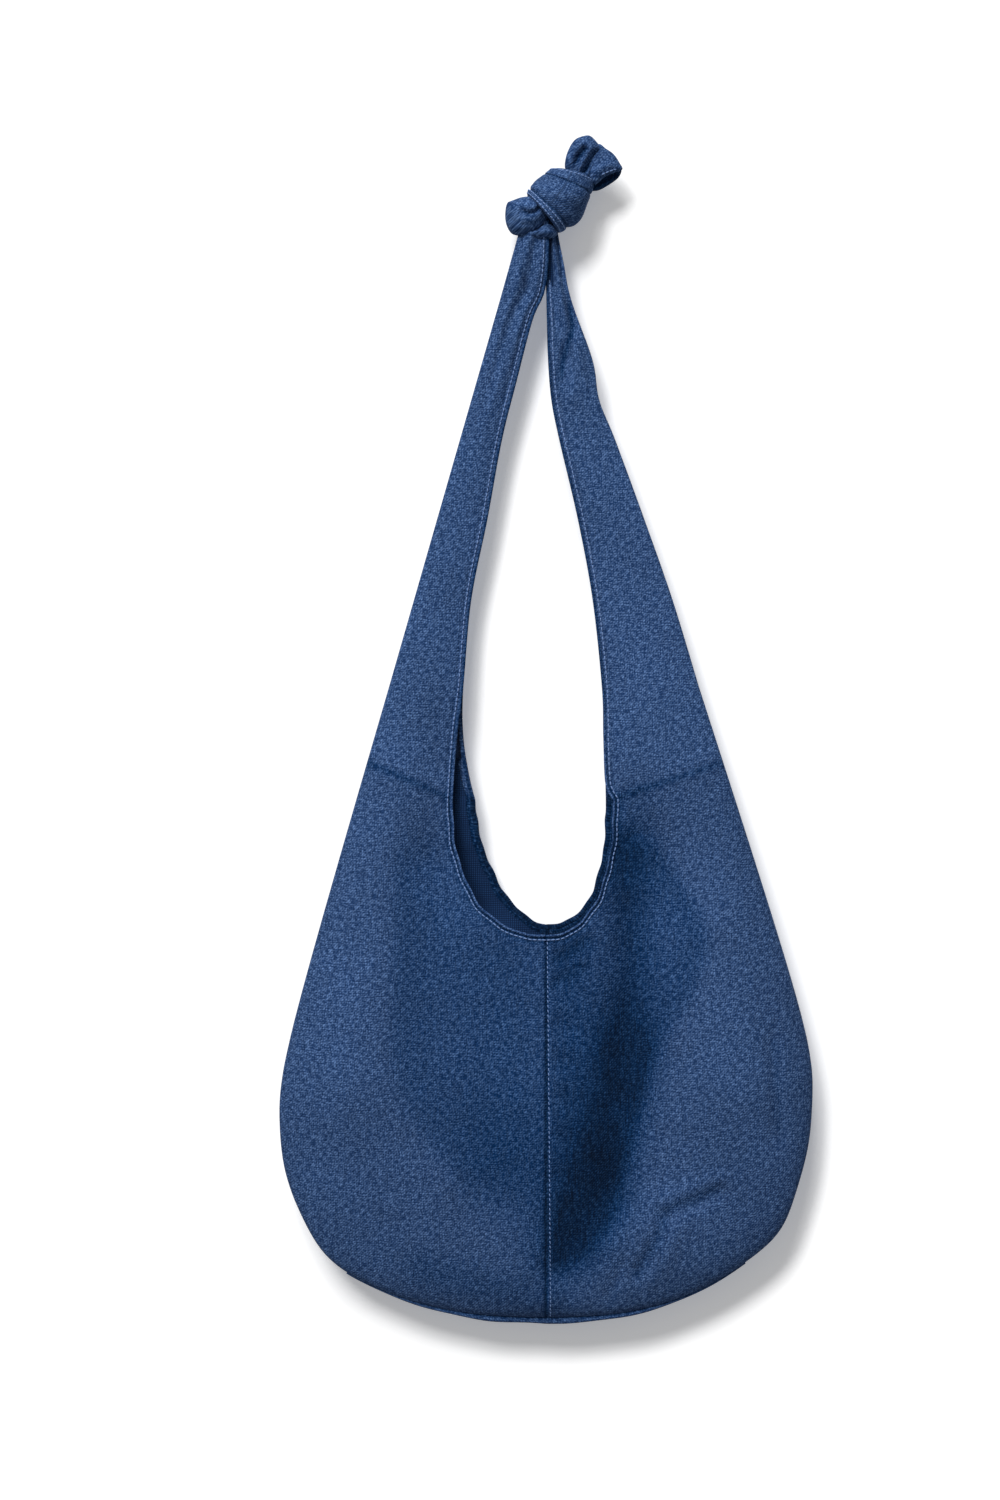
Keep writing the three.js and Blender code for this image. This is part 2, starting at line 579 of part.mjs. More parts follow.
// Straps: canvas folded along the outer edge, a facing inside, and a row of topstitch on the open edge
class Strap {
  constructor(sideName) {
    this.side = SIDES[sideName];
    this.front = quarters[`front_${sideName}`];
    this.back = quarters[`back_${sideName}`];
    const [lastAcross] = STRAP_INNER_POINTS[sideName].at(-1);
    const crotch = CROTCH_DROPS.map((drop, k) => [mix(GAP / 2, lastAcross, CROTCH_EASE[k]), drop]);
    this.outer = planCurve([
      [STRAP_FOOT_OUTER[sideName], STRAP_FOOT_DROP],
      ...STRAP_OUTER_POINTS[sideName],
      [STRAP_TOP_OUTER[sideName], STRAP_TOP_DROP],
    ]);
    this.inner = planCurve([
      [STRAP_FOOT_INNER[sideName], STRAP_FOOT_DROP],
      ...STRAP_INNER_POINTS[sideName],
      ...crotch,
      [GAP / 2, STRAP_TOP_DROP],
    ]);
  }

  facingHalf(share) {
    const gather = smooth((share - GATHER_START) / (1 - GATHER_START));
    return mix(FACING, GATHERED_FACING, gather) / 2;
  }

  half(share) {
    return this.facingHalf(share) + GAP + CLOTH;
  }

  // A point at a distance from the open edge, at a depth from the strap plane
  point(share, distance, depth) {
    const inner = this.inner.getPointAt(share);
    const way = this.outer.getPointAt(share).sub(inner).normalize();
    const plan = inner.addScaledVector(way, distance);
    return new THREE.Vector3(this.side * plan.x, depth, -plan.y);
  }

  width(share) {
    return this.outer.getPointAt(share).distanceTo(this.inner.getPointAt(share));
  }

  // Half of a folded section, as [distance from the open edge, depth]
  foldLine(share, radius) {
    const straight = this.width(share) - this.half(share);
    const flats = FLAT_SHARES.map((flat) => [flat * straight, -radius]);
    const bend = FOLD_TURNS.map(radians).map((turn) => {
      return [straight + radius * Math.cos(turn), radius * Math.sin(turn)];
    });
    const returned = [...flats].reverse().map(([distance, depth]) => [distance, -depth]);
    return [...flats, ...bend, ...returned];
  }

  section(share) {
    const half = this.half(share);
    const line = (radius) => this.foldLine(share, radius).map((place) => this.point(share, ...place));
    return [...line(half), ...line(half - CLOTH).reverse()];
  }

  facingSection(share) {
    const thin = this.facingHalf(share);
    const far = this.width(share) - this.half(share);
    const corners = [[FACING_INSET, -thin], [far, -thin], [far, thin], [FACING_INSET, thin]];
    return corners.map((corner) => this.point(share, ...corner));
  }

  // The lower section of the root follows the upper edges of the front and back quarters
  rootFoot() {
    const width = this.width(0);
    const layer = (depth) => this.foldLine(0, this.half(0)).map(([distance, height], k) => {
      const across = Math.abs(height) < GAP ? 0 : clamp01(1 - distance / width);
      const quarter = k < (FLAT_SHARES.length * 2 + FOLD_TURNS.length) / 2 ? this.front : this.back;
      const point = quarter.lifted(1, across, -depth);
      point.z += GAP;
      if (across === 0) {
        point.y = 0;
      }
      return point;
    });
    return [...layer(0), ...layer(CLOTH).reverse()];
  }

  root() {
    const foot = this.rootFoot();
    const head = this.section(0);
    return loft(shares(ROOT_STEPS).map((share) => foot.map((point, k) => {
      const blended = point.clone().lerp(head[k], share);
      blended.y = mix(point.y, head[k].y, smooth(share));
      return blended;
    })));
  }

  body(sectionOf) {
    const start = GAP / this.inner.getLength();
    const places = shares(STRAP_STEPS).map((share) => mix(start, 1, share));
    return cut(loft(places.map((place) => sectionOf.call(this, place))), knotRoom);
  }

  stitch() {
    const [start, end] = STITCHED_SHARES;
    const row = shares(STRAP_STEPS).map((share) => {
      const place = mix(start, end, share);
      return this.point(place, STITCH_INSET, -this.half(place) - GAP - THREAD_RADIUS);
    });
    return thread(row, STRAP_STEPS);
  }
}

for (const side of Object.keys(SIDES)) {
  const strap = new Strap(side);
  addPiece(`${side}_strap`, strap.body(strap.section), CANVAS_BLUE, CANVAS_ROUGHNESS);
  addPiece(`${side}_strap_facing`, strap.body(strap.facingSection), LINING_BLUE, LINING_ROUGHNESS);
  addPiece(`${side}_strap_root`, strap.root(), CANVAS_BLUE, CANVAS_ROUGHNESS);
  addPiece(`${side}_strap_topstitch`, strap.stitch(), THREAD_BLUE, THREAD_ROUGHNESS);
}

export default bag;
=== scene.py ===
"""Dresses the knotted canvas crossbody bag: folded halves, hems, stitching, knot and studio."""
import json
import logging
import math
from collections.abc import Iterable
from dataclasses import dataclass, field
from enum import Enum

import bpy
import numpy as np
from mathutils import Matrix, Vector

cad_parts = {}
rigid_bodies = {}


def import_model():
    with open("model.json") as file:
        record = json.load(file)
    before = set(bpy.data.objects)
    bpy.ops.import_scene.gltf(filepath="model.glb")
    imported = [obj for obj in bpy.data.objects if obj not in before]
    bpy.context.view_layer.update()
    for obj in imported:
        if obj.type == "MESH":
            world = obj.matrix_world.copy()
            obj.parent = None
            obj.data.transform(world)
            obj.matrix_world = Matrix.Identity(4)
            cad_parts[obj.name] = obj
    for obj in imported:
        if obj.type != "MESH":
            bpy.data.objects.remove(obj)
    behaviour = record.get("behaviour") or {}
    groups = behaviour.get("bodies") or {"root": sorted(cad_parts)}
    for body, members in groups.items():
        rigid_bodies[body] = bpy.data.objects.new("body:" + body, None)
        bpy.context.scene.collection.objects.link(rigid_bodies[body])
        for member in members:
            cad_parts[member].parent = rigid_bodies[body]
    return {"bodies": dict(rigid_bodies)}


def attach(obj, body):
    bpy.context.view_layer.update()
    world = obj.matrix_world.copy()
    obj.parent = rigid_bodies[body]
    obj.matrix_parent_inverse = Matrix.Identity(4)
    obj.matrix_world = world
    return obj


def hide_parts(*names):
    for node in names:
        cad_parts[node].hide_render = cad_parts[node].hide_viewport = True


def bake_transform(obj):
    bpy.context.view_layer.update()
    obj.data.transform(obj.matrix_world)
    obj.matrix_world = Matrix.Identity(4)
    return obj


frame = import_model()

LOG = logging.getLogger("crossbody_bag")
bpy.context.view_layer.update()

# Sizes are in millimetres until a mesh is made. "Drop" is the distance below the crotch of the loop.
MM = 0.001
CANVAS = 1.0
LINING = 0.6
WEAVE_MAP = "Weave"
# Per-point colour change: wear rubbed pale, and painted shade in folds, hollows, grooves, edges and cloth
# lying inside.
WEAR_AND_SHADE = "Fade"

Array = np.ndarray
Pair = tuple[float, float]
Place = tuple[float, float, float]
Colour = tuple[float, float, float, float]
Corners = tuple[int, ...]


class Labelled(Enum):
    """An option whose name stands in the names of its pieces."""

    @property
    def label(self) -> str:
        """The option's name as the pieces have it."""
        return self.name.lower()


class Side(Labelled):
    """The two folded halves, by the sign of X."""

    LEFT = -1
    RIGHT = 1


class Face(Labelled):
    """The two walls of the body, by the sign of Y."""

    FRONT = -1
    BACK = 1

    @property
    def index(self) -> int:
        """This wall's place in a pair of front and back values."""
        return 0 if self is Face.FRONT else 1


class Cloth(Enum):
    """The record's material slots."""

    CANVAS = "canvas"
    LINING = "lining"
    THREAD = "thread"


def smooth(value: Array | float) -> Array:
    """Eases 0 to 1 with level ends."""
    share = np.clip(value, 0.0, 1.0)
    return share * share * (3.0 - 2.0 * share)


def mix(start: Array | float, end: Array | float, share: Array | float) -> Array:
    """Goes from start to end by share."""
    return start + (end - start) * share


def bell(value: Array, width: Array | float) -> Array:
    """Is 1 at zero and fades out over a width on both sides."""
    return np.exp(-((value / width) ** 2))


def run_along(points: Array) -> Array:
    """Gives the length from the first point to each one."""
    return np.concatenate([[0.0], np.cumsum(np.linalg.norm(np.diff(points, axis=0), axis=1))])


def read_at(where: Array | float, run: Array, table: Array) -> Array:
    """Reads a table between its rows, at places along its run."""
    return np.stack([np.interp(where, run, column) for column in table.T], axis=-1)


def linear(colour: str) -> Colour:
    """Turns a written colour into what a shader takes.

    Args:
        colour: sRGB as six hex digits.

    Returns:
        Linear red, green and blue, and an alpha of 1.
    """
    parts = [int(colour[at:at + 2], 16) / 255 for at in (0, 2, 4)]
    red, green, blue = (p / 12.92 if p <= 0.04045 else ((p + 0.055) / 1.055) ** 2.4 for p in parts)
    return (red, green, blue, 1.0)


def add_node(tree: bpy.types.NodeTree, kind: str, settings: dict, inputs: dict) -> bpy.types.Node:
    """Adds one node to a material or world.

    Args:
        tree: the node tree.
        kind: the node's type.
        settings: the node's own properties.
        inputs: values or sockets, by the name or number of the input.

    Returns:
        The new node.
    """
    node = tree.nodes.new(kind)
    for name, value in settings.items():
        setattr(node, name, value)
    for key, value in inputs.items():
        if isinstance(value, bpy.types.NodeSocket):
            tree.links.new(value, node.inputs[key])
        else:
            node.inputs[key].default_value = value
    return node


def new_material(name: str) -> bpy.types.Material:
    """Makes an empty node material.

    Args:
        name: what it is made of and how its surface was made.

    Returns:
        The material, without nodes.
    """
    material = bpy.data.materials.new(name)
    material.use_nodes = True
    material.node_tree.nodes.clear()
    return material


def grain(tree: bpy.types.NodeTree, weave: bpy.types.NodeSocket, size: Pair,
          detail: float) -> bpy.types.NodeSocket:
    """Adds an uneven pattern whose grain has a real size on the cloth.

    Args:
        tree: the node tree.
        weave: the cloth coordinates, in millimetres.
        size: the grain's width and length.
        detail: how many finer octaves it has.

    Returns:
        The pattern's value, about 0.5 in the middle.
    """
    scaled = add_node(
        tree, "ShaderNodeMapping", {}, {"Vector": weave, "Scale": (1 / size[0], 1 / size[1], 1.0)},
    ).outputs[0]
    return add_node(
        tree, "ShaderNodeTexNoise", {}, {"Vector": scaled, "Scale": 1.0, "Detail": detail},
    ).outputs[0]


def seen_rays(tree: bpy.types.NodeTree) -> bpy.types.NodeSocket:
    """Adds a switch for the rays that show the backdrop: straight to the camera, or by way of gloss or glass.

    Args:
        tree: the node tree.

    Returns:
        A value that is 1 for those rays and 0 for the rest.
    """
    path = add_node(tree, "ShaderNodeLightPath", {}, {}).outputs
    seen = path["Is Camera Ray"]
    for other in ("Is Glossy Ray", "Is Transmission Ray"):
        seen = add_node(
            tree, "ShaderNodeMath", {"operation": "MAXIMUM"}, {0: seen, 1: path[other]},
        ).outputs[0]
    return seen


@dataclass(frozen=True)
class TwillCanvas:
    """Washed cotton twill, blue warp over paler weft: it looks heathered, matt and faintly diagonal."""

    name: str = "cotton_twill_canvas_woven_washed"
    warp: str = "203C67"
    dark_warp: str = "0E2447"
    weft: str = "6C8DC0"
    sheen: str = "A9BCDD"
    twill_mm: float = 1.7
    weft_fleck_mm: Pair = (4.2, 1.0)
    warp_fleck_mm: Pair = (1.0, 4.2)
    speck_mm: Pair = (0.9, 0.9)
    streak_mm: Pair = (1.3, 16.0)
    cloud_mm: Pair = (55.0, 55.0)
    relief_mm: float = 0.22
    # A range is where a pattern starts to show and where it shows fully, and a shade is how much it changes.
    warp_fleck_share: float = 0.45
    fleck_range: Pair = (0.45, 0.63)
    rib_range: Pair = (0.1, 0.95)
    rib_shown: Pair = (0.35, 0.9)
    speck_range: Pair = (0.46, 0.64)
    speck_shown: Pair = (0.0, 0.9)
    uneven_range: Pair = (0.3, 0.7)
    streak_shade: float = 0.11
    cloud_shade: float = 0.07
    # Wear and painted shade change the lightness, and where the painted shade is deepest the colour is also
    # made more saturated.
    wear_shade: float = 0.72
    painted_shade_range: Pair = (-0.9, -0.2)
    painted_shade_saturation: float = 1.2
    roughness: Pair = (0.84, 0.97)

    def material(self) -> bpy.types.Material:
        """Builds the node material.

        Returns:
            The finished canvas.
        """
        material = new_material(self.name)
        tree = material.node_tree
        weave = add_node(tree, "ShaderNodeUVMap", {"uv_map": WEAVE_MAP}, {}).outputs[0]
        fade = add_node(tree, "ShaderNodeAttribute", {"attribute_name": WEAR_AND_SHADE}, {}).outputs["Fac"]
        rib = self.rib(tree, weave)
        fleck = self.fleck(tree, weave)
        speck = grain(tree, weave, self.speck_mm, 1.0)
        woven = self.woven(tree, rib, fleck, speck)
        # Painted shade: the colour grows more saturated where the cloth is darkened for shade.
        depth = add_node(
            tree, "ShaderNodeMapRange", {},
            {
                "Value": fade, "From Min": self.painted_shade_range[0], "From Max": self.painted_shade_range[1],
                "To Min": self.painted_shade_saturation, "To Max": 1.0,
            },
        ).outputs[0]
        colour = add_node(
            tree, "ShaderNodeHueSaturation", {},
            {"Color": woven, "Value": self.lightness(tree, weave, fade), "Saturation": depth},
        ).outputs[0]
        height = add_node(tree, "ShaderNodeMath", {"operation": "ADD"}, {0: rib, 1: fleck}).outputs[0]
        bump = add_node(
            tree, "ShaderNodeBump", {}, {"Height": height, "Strength": 0.7, "Distance": self.relief_mm * MM},
        ).outputs[0]
        rough = add_node(
            tree, "ShaderNodeMapRange", {},
            {"Value": speck, "To Min": self.roughness[0], "To Max": self.roughness[1]},
        ).outputs[0]
        cloth = add_node(
            tree, "ShaderNodeBsdfPrincipled", {},
            {
                "Base Color": colour, "Roughness": rough, "Normal": bump, "Specular IOR Level": 0.08,
                "Sheen Weight": 0.04, "Sheen Roughness": 0.5, "Sheen Tint": linear(self.sheen),
            },
        ).outputs[0]
        add_node(tree, "ShaderNodeOutputMaterial", {}, {"Surface": cloth})
        return material

    def rib(self, tree: bpy.types.NodeTree, weave: bpy.types.NodeSocket) -> bpy.types.NodeSocket:
        """Adds the diagonal ribs of the twill.

        Args:
            tree: the node tree.
            weave: the cloth coordinates, in millimetres.

        Returns:
            The ribs' height, from 0 to 1.
        """
        # A twill rib is about 0.9 mm wide on such cloth. It is drawn twice as wide, to show in the render.
        scale = 2 * math.pi / (10 * math.sqrt(2) * self.twill_mm)
        tilted = add_node(
            tree, "ShaderNodeMapping", {}, {"Vector": weave, "Scale": (1.0, -1.0, 1.0)},
        ).outputs[0]
        return add_node(
            tree, "ShaderNodeTexWave", {"bands_direction": "DIAGONAL"},
            {"Vector": tilted, "Scale": scale, "Distortion": 1.4, "Detail": 2.0, "Detail Scale": 1.7},
        ).outputs["Fac"]

    def fleck(self, tree: bpy.types.NodeTree, weave: bpy.types.NodeSocket) -> bpy.types.NodeSocket:
        """Adds the crossed flecks where washed warp and weft yarns come to the top.

        Args:
            tree: the node tree.
            weave: the cloth coordinates, in millimetres.

        Returns:
            The flecks' value.
        """
        # The real yarns are about 0.5 mm wide. Their flecks, and the specks of darker dye, are drawn about
        # twice as wide, to show in the render.
        sizes = (self.weft_fleck_mm, self.warp_fleck_mm)
        across, along = (grain(tree, weave, size, 2.0) for size in sizes)
        return add_node(tree, "ShaderNodeMix", {}, {0: self.warp_fleck_share, 2: across, 3: along}).outputs[0]

    def woven(self, tree: bpy.types.NodeTree, rib: bpy.types.NodeSocket, fleck: bpy.types.NodeSocket,
              speck: bpy.types.NodeSocket) -> bpy.types.NodeSocket:
        """Adds the colour of the yarns: light and dark warp, with weft that shows on the ribs' flecks.

        Args:
            tree: the node tree.
            rib: the twill's ribs.
            fleck: the crossed flecks.
            speck: the fine specks of darker dye.

        Returns:
            The colour before wear.
        """
        ranges = (
            (fleck, self.fleck_range, (0.0, 1.0)), (rib, self.rib_range, self.rib_shown),
            (speck, self.speck_range, self.speck_shown),
        )
        light, ribbed, dark = (
            add_node(
                tree, "ShaderNodeMapRange", {},
                {"Value": value, "From Min": low, "From Max": high, "To Min": least, "To Max": most},
            ).outputs[0]
            for value, (low, high), (least, most) in ranges
        )
        shown = add_node(tree, "ShaderNodeMath", {"operation": "MULTIPLY"}, {0: light, 1: ribbed}).outputs[0]
        yarn = add_node(
            tree, "ShaderNodeMix", {"data_type": "RGBA"},
            {0: dark, 6: linear(self.warp), 7: linear(self.dark_warp)},
        ).outputs[2]
        return add_node(
            tree, "ShaderNodeMix", {"data_type": "RGBA"}, {0: shown, 6: yarn, 7: linear(self.weft)},
        ).outputs[2]

    def lightness(self, tree: bpy.types.NodeTree, weave: bpy.types.NodeSocket,
                  fade: bpy.types.NodeSocket) -> bpy.types.NodeSocket:
        """Adds up how light the cloth is from its yarn streaks, uneven dye, wear and painted shade.

        Args:
            tree: the node tree.
            weave: the cloth coordinates, in millimetres.
            fade: wear and painted shade, from -1 for the deepest painted shade to 1 for rubbed pale.

        Returns:
            The lightness, 1 where nothing changes it.
        """
        parts = (
            (grain(tree, weave, self.streak_mm, 2.0), self.uneven_range, self.streak_shade),
            (grain(tree, weave, self.cloud_mm, 3.0), self.uneven_range, self.cloud_shade),
            (fade, (-1.0, 1.0), self.wear_shade),
        )
        total: bpy.types.NodeSocket | float = 1.0
        for value, (low, high), most in parts:
            share = add_node(
                tree, "ShaderNodeMapRange", {},
                {"Value": value, "From Min": low, "From Max": high, "To Min": -most, "To Max": most},
            ).outputs[0]
            total = add_node(tree, "ShaderNodeMath", {"operation": "ADD"}, {0: share, 1: total}).outputs[0]
        return total


@dataclass(frozen=True)
class PlainLining:
    """Dark plain-weave cotton: a fine over-and-under grid, matt, seen only inside the mouth."""

    name: str = "cotton_plain_weave_lining_dyed"
    yarn: str = "21426F"
    deep: str = "081B38"
    yarn_mm: float = 1.4
    cloud_mm: Pair = (18.0, 18.0)
    relief_mm: float = 0.15
    shown_range: Pair = (0.02, 0.42)

    def material(self) -> bpy.types.Material:
        """Builds the node material.

        Returns:
            The finished lining.
        """
        material = new_material(self.name)
        tree = material.node_tree
        weave = add_node(tree, "ShaderNodeUVMap", {"uv_map": WEAVE_MAP}, {}).outputs[0]
        # The real yarns are about 0.4 mm apart. They are drawn coarser so that the weave shows in the render.
        scale = 2 * math.pi / (20 * self.yarn_mm)
        weft, warp = (
            add_node(
                tree, "ShaderNodeTexWave", {"bands_direction": way},
                {"Vector": weave, "Scale": scale, "Distortion": 1.2, "Detail Scale": 1.0},
            ).outputs["Fac"]
            for way in ("X", "Y")
        )
        grid = add_node(tree, "ShaderNodeMath", {"operation": "MULTIPLY"}, {0: weft, 1: warp}).outputs[0]
        cloud = grain(tree, weave, self.cloud_mm, 3.0)
        uneven = add_node(tree, "ShaderNodeMath", {"operation": "MULTIPLY"}, {0: grid, 1: cloud}).outputs[0]
        low, high = self.shown_range
        share = add_node(
            tree, "ShaderNodeMapRange", {}, {"Value": uneven, "From Min": low, "From Max": high},
        ).outputs[0]
        colour = add_node(
            tree, "ShaderNodeMix", {"data_type": "RGBA"},
            {0: share, 6: linear(self.deep), 7: linear(self.yarn)},
        ).outputs[2]
        bump = add_node(
            tree, "ShaderNodeBump", {}, {"Height": grid, "Strength": 0.5, "Distance": self.relief_mm * MM},
        ).outputs[0]
        cloth = add_node(
            tree, "ShaderNodeBsdfPrincipled", {},
            {"Base Color": colour, "Roughness": 0.9, "Normal": bump, "Specular IOR Level": 0.12},
        ).outputs[0]
        add_node(tree, "ShaderNodeOutputMaterial", {}, {"Surface": cloth})
        return material


@dataclass(frozen=True)
class SpunThread:
    """Light blue spun polyester thread: twisted plies, a soft satin sheen, a little uneven in shade."""

    name: str = "polyester_topstitch_thread_spun"
    ply: str = "7C97C6"
    hollow: str = "4E6A9A"
    twist_mm: float = 0.9
    cloud_mm: Pair = (9.0, 9.0)
    relief_mm: float = 0.08

    def material(self) -> bpy.types.Material:
        """Builds the node material.

        Returns:
            The finished thread.
        """
        material = new_material(self.name)
        tree = material.node_tree
        weave = add_node(tree, "ShaderNodeUVMap", {"uv_map": WEAVE_MAP}, {}).outputs[0]
        scale = 2 * math.pi / (10 * math.sqrt(2) * self.twist_mm)
        twist = add_node(
            tree, "ShaderNodeTexWave", {"bands_direction": "DIAGONAL"}, {"Vector": weave, "Scale": scale},
        ).outputs["Fac"]
        cloud = grain(tree, weave, self.cloud_mm, 1.0)
        share = add_node(tree, "ShaderNodeMath", {"operation": "MULTIPLY"}, {0: twist, 1: cloud}).outputs[0]
        colour = add_node(
            tree, "ShaderNodeMix", {"data_type": "RGBA"},
            {0: share, 6: linear(self.ply), 7: linear(self.hollow)},
        ).outputs[2]
        bump = add_node(
            tree, "ShaderNodeBump", {}, {"Height": twist, "Strength": 0.5, "Distance": self.relief_mm * MM},
        ).outputs[0]
        thread = add_node(
            tree, "ShaderNodeBsdfPrincipled", {},
            {"Base Color": colour, "Roughness": 0.62, "Normal": bump, "Specular IOR Level": 0.25},
        ).outputs[0]
        add_node(tree, "ShaderNodeOutputMaterial", {}, {"Surface": thread})
        return material


@dataclass(frozen=True)
class RolledPaint:
    """Matt white emulsion, rolled on: hardly uneven, clear from behind, and white where no shadow falls."""

    name: str
    glow: float
    patch_mm: float = 1000 / 3
    shades: Pair = (0.96, 1.0)

    def material(self) -> bpy.types.Material:
        """Builds the node material. The glow is the share of white that is seen without any light.

        Returns:
            The finished paint.
        """
        material = new_material(self.name)
        tree = material.node_tree
        place = add_node(tree, "ShaderNodeNewGeometry", {}, {}).outputs
        patches = add_node(
            tree, "ShaderNodeTexNoise", {}, {"Vector": place["Position"], "Scale": 1 / (self.patch_mm * MM)},
        ).outputs[0]
        shade = add_node(
            tree, "ShaderNodeMapRange", {},
            {"Value": patches, "To Min": self.shades[0], "To Max": self.shades[1]},
        ).outputs[0]
        paint = add_node(tree, "ShaderNodeBsdfDiffuse", {}, {"Color": shade}).outputs[0]
        strength = add_node(
            tree, "ShaderNodeMath", {"operation": "MULTIPLY"}, {0: seen_rays(tree), 1: self.glow},
        ).outputs[0]
        light = add_node(
            tree, "ShaderNodeEmission", {}, {"Color": linear("FFFFFF"), "Strength": strength},
        ).outputs[0]
        lit = add_node(tree, "ShaderNodeAddShader", {}, {0: paint, 1: light}).outputs[0]
        clear = add_node(tree, "ShaderNodeBsdfTransparent", {}, {}).outputs[0]
        both = add_node(
            tree, "ShaderNodeMixShader", {}, {0: place["Backfacing"], 1: lit, 2: clear},
        ).outputs[0]
        add_node(tree, "ShaderNodeOutputMaterial", {}, {"Surface": both})
        return material


FINISHES: dict[Cloth, bpy.types.Material] = {
    Cloth.CANVAS: TwillCanvas().material(),
    Cloth.LINING: PlainLining().material(),
    Cloth.THREAD: SpunThread().material(),
}


@dataclass
class Skin:
    """A mesh on its way to Blender: points in millimetres with cloth coordinates, wear with painted shade,
    and normals.
    """

    points: Array
    faces: list[Corners]
    weave: Array
    fade: Array
    normals: Array | None = None

    @staticmethod
    def joined(skins: list["Skin"]) -> "Skin":
        """Puts several skins into one.

        Args:
            skins: the skins, all with normals or all without.

        Returns:
            One skin with all their points and faces.
        """
        faces: list[Corners] = []
        start = 0
        for skin in skins:
            faces += [tuple(corner + start for corner in face) for face in skin.faces]
            start += len(skin.points)
        normals = None if skins[0].normals is None else np.concatenate([s.normals for s in skins])
        return Skin(
            np.concatenate([s.points for s in skins]), faces,
            np.concatenate([s.weave for s in skins]), np.concatenate([s.fade for s in skins]), normals,
        )

    def to_object(self, name: str, cloth: Cloth) -> bpy.types.Object:
        """Makes the Blender object, smooth shaded, with its cloth coordinates, wear and painted shade, and
        finish.

        Args:
            name: the piece's name.
            cloth: the slot that it takes its finish from.

        Returns:
            The new object.
        """
        mesh = bpy.data.meshes.new(name)
        mesh.from_pydata((self.points * MM).tolist(), [], self.faces)
        corners = np.empty(len(mesh.loops), dtype=np.int32)
        mesh.loops.foreach_get("vertex_index", corners)
        layer = mesh.uv_layers.new(name=WEAVE_MAP)
        layer.data.foreach_set("uv", self.weave[corners].astype(np.float32).ravel())
        wear = mesh.attributes.new(WEAR_AND_SHADE, "FLOAT", "POINT")
        wear.data.foreach_set("value", self.fade.astype(np.float32))
        mesh.polygons.foreach_set("use_smooth", np.ones(len(mesh.polygons), dtype=bool))
        if self.normals is not None:
            mesh.normals_split_custom_set_from_vertices(self.normals.tolist())
        mesh.materials.append(FINISHES[cloth])
        piece = bpy.data.objects.new(name, mesh)
        bpy.context.scene.collection.objects.link(piece)
        LOG.info("%s: %d faces", name, len(mesh.polygons))
        return piece


def grid_normals(grid: Array) -> Array:
    """Works out the unit normal at every point of a grid.

    Args:
        grid: rows by columns of points.

    Returns:
        The normals, in the same layout.
    """
    across = np.gradient(grid, axis=1)
    along = np.gradient(grid, axis=0)
    normals = np.cross(along, across)
    return normals / np.maximum(np.linalg.norm(normals, axis=2, keepdims=True), 1e-9)


def shell(grid: Array, normals: Array, thickness: float, weave: Array, fade: Array) -> Skin:
    """Gives a grid of cloth its thickness, as a closed skin.

    Args:
        grid: rows by columns of points on the outer side.
        normals: the outer side's normals.
        thickness: how far the inner side lies behind the outer one.
        weave: cloth coordinates of each point.
        fade: wear and painted shade of each point.

    Returns:
        The closed skin.
    """
    rows, columns = grid.shape[:2]
    count = rows * columns
    number = np.arange(count).reshape(rows, columns)
    corners = (number[:-1, :-1], number[:-1, 1:], number[1:, 1:], number[1:, :-1])
    quads = np.stack(corners, axis=-1).reshape(-1, 4)
    flat = grid.reshape(-1, 3)
    facing = normals.reshape(-1, 3)
    sides = np.cross(flat[quads[:, 2]] - flat[quads[:, 0]], flat[quads[:, 3]] - flat[quads[:, 1]])
    if (sides * facing[quads[:, 0]]).sum() < 0:
        quads = quads[:, ::-1]
    edge = np.concatenate([number[0, :-1], number[:-1, -1], number[-1, :0:-1], number[:0:-1, 0]])
    ahead = np.roll(edge, -1)
    border = np.stack([edge, edge + count, ahead + count, ahead], axis=-1)
    directed = {(a, b) for quad in quads.tolist() for a, b in zip(quad, quad[1:] + quad[:1])}
    if (int(edge[0]), int(ahead[0])) not in directed:
        border = border[:, ::-1]
    faces = np.concatenate([quads, quads[:, ::-1] + count, border[:, ::-1]])
    return Skin(
        np.concatenate([flat, flat - facing * thickness]), [tuple(face) for face in faces.tolist()],
        np.concatenate([weave.reshape(-1, 2)] * 2), np.concatenate([fade.ravel()] * 2),
        np.concatenate([facing, -facing]),
    )


class Curve:
    """A smooth curve through points, read by its share of length."""

    def __init__(self, points: list[Pair] | Array, steps: int = 24) -> None:
        """Samples a Catmull-Rom curve finely through the points.

        Args:
            points: what the curve goes through.
            steps: how many samples lie between two of them.
        """
        ends = np.asarray(points, dtype=float)
        held = np.concatenate([ends[:1], ends, ends[-1:]])
        share = np.linspace(0.0, 1.0, steps, endpoint=False)[:, None]
        runs = []
        for before, start, end, after in zip(held, held[1:], held[2:], held[3:]):
            lead, trail = (end - before) / 2, (after - start) / 2
            cubic = 2 * start - 2 * end + lead + trail
            square = -3 * start + 3 * end - 2 * lead - trail
            runs.append(cubic * share**3 + square * share**2 + lead * share + start)
        self.points = np.concatenate([*runs, ends[-1:]])
        self.length = run_along(self.points)

    def at(self, share: Array) -> Array:
        """Gives the points at shares of the length."""
        return read_at(share * self.length[-1], self.length, self.points)


def across_at(edge: Array, drop: Array) -> Array:
    """Reads how far across an edge lies at each drop."""
    order = np.argsort(edge[:, 1])
    return np.interp(drop, edge[order, 1], edge[order, 0])


@dataclass(frozen=True)
class Ridge:
    """A ridge, or with a negative height a groove, that runs at a distance from an edge or a seam."""

    away: float
    width: float
    height: float

    def over(self, distance: Array) -> Array:
        """Gives its height at distances from the edge."""
        return self.height * bell(distance - self.away, self.width)


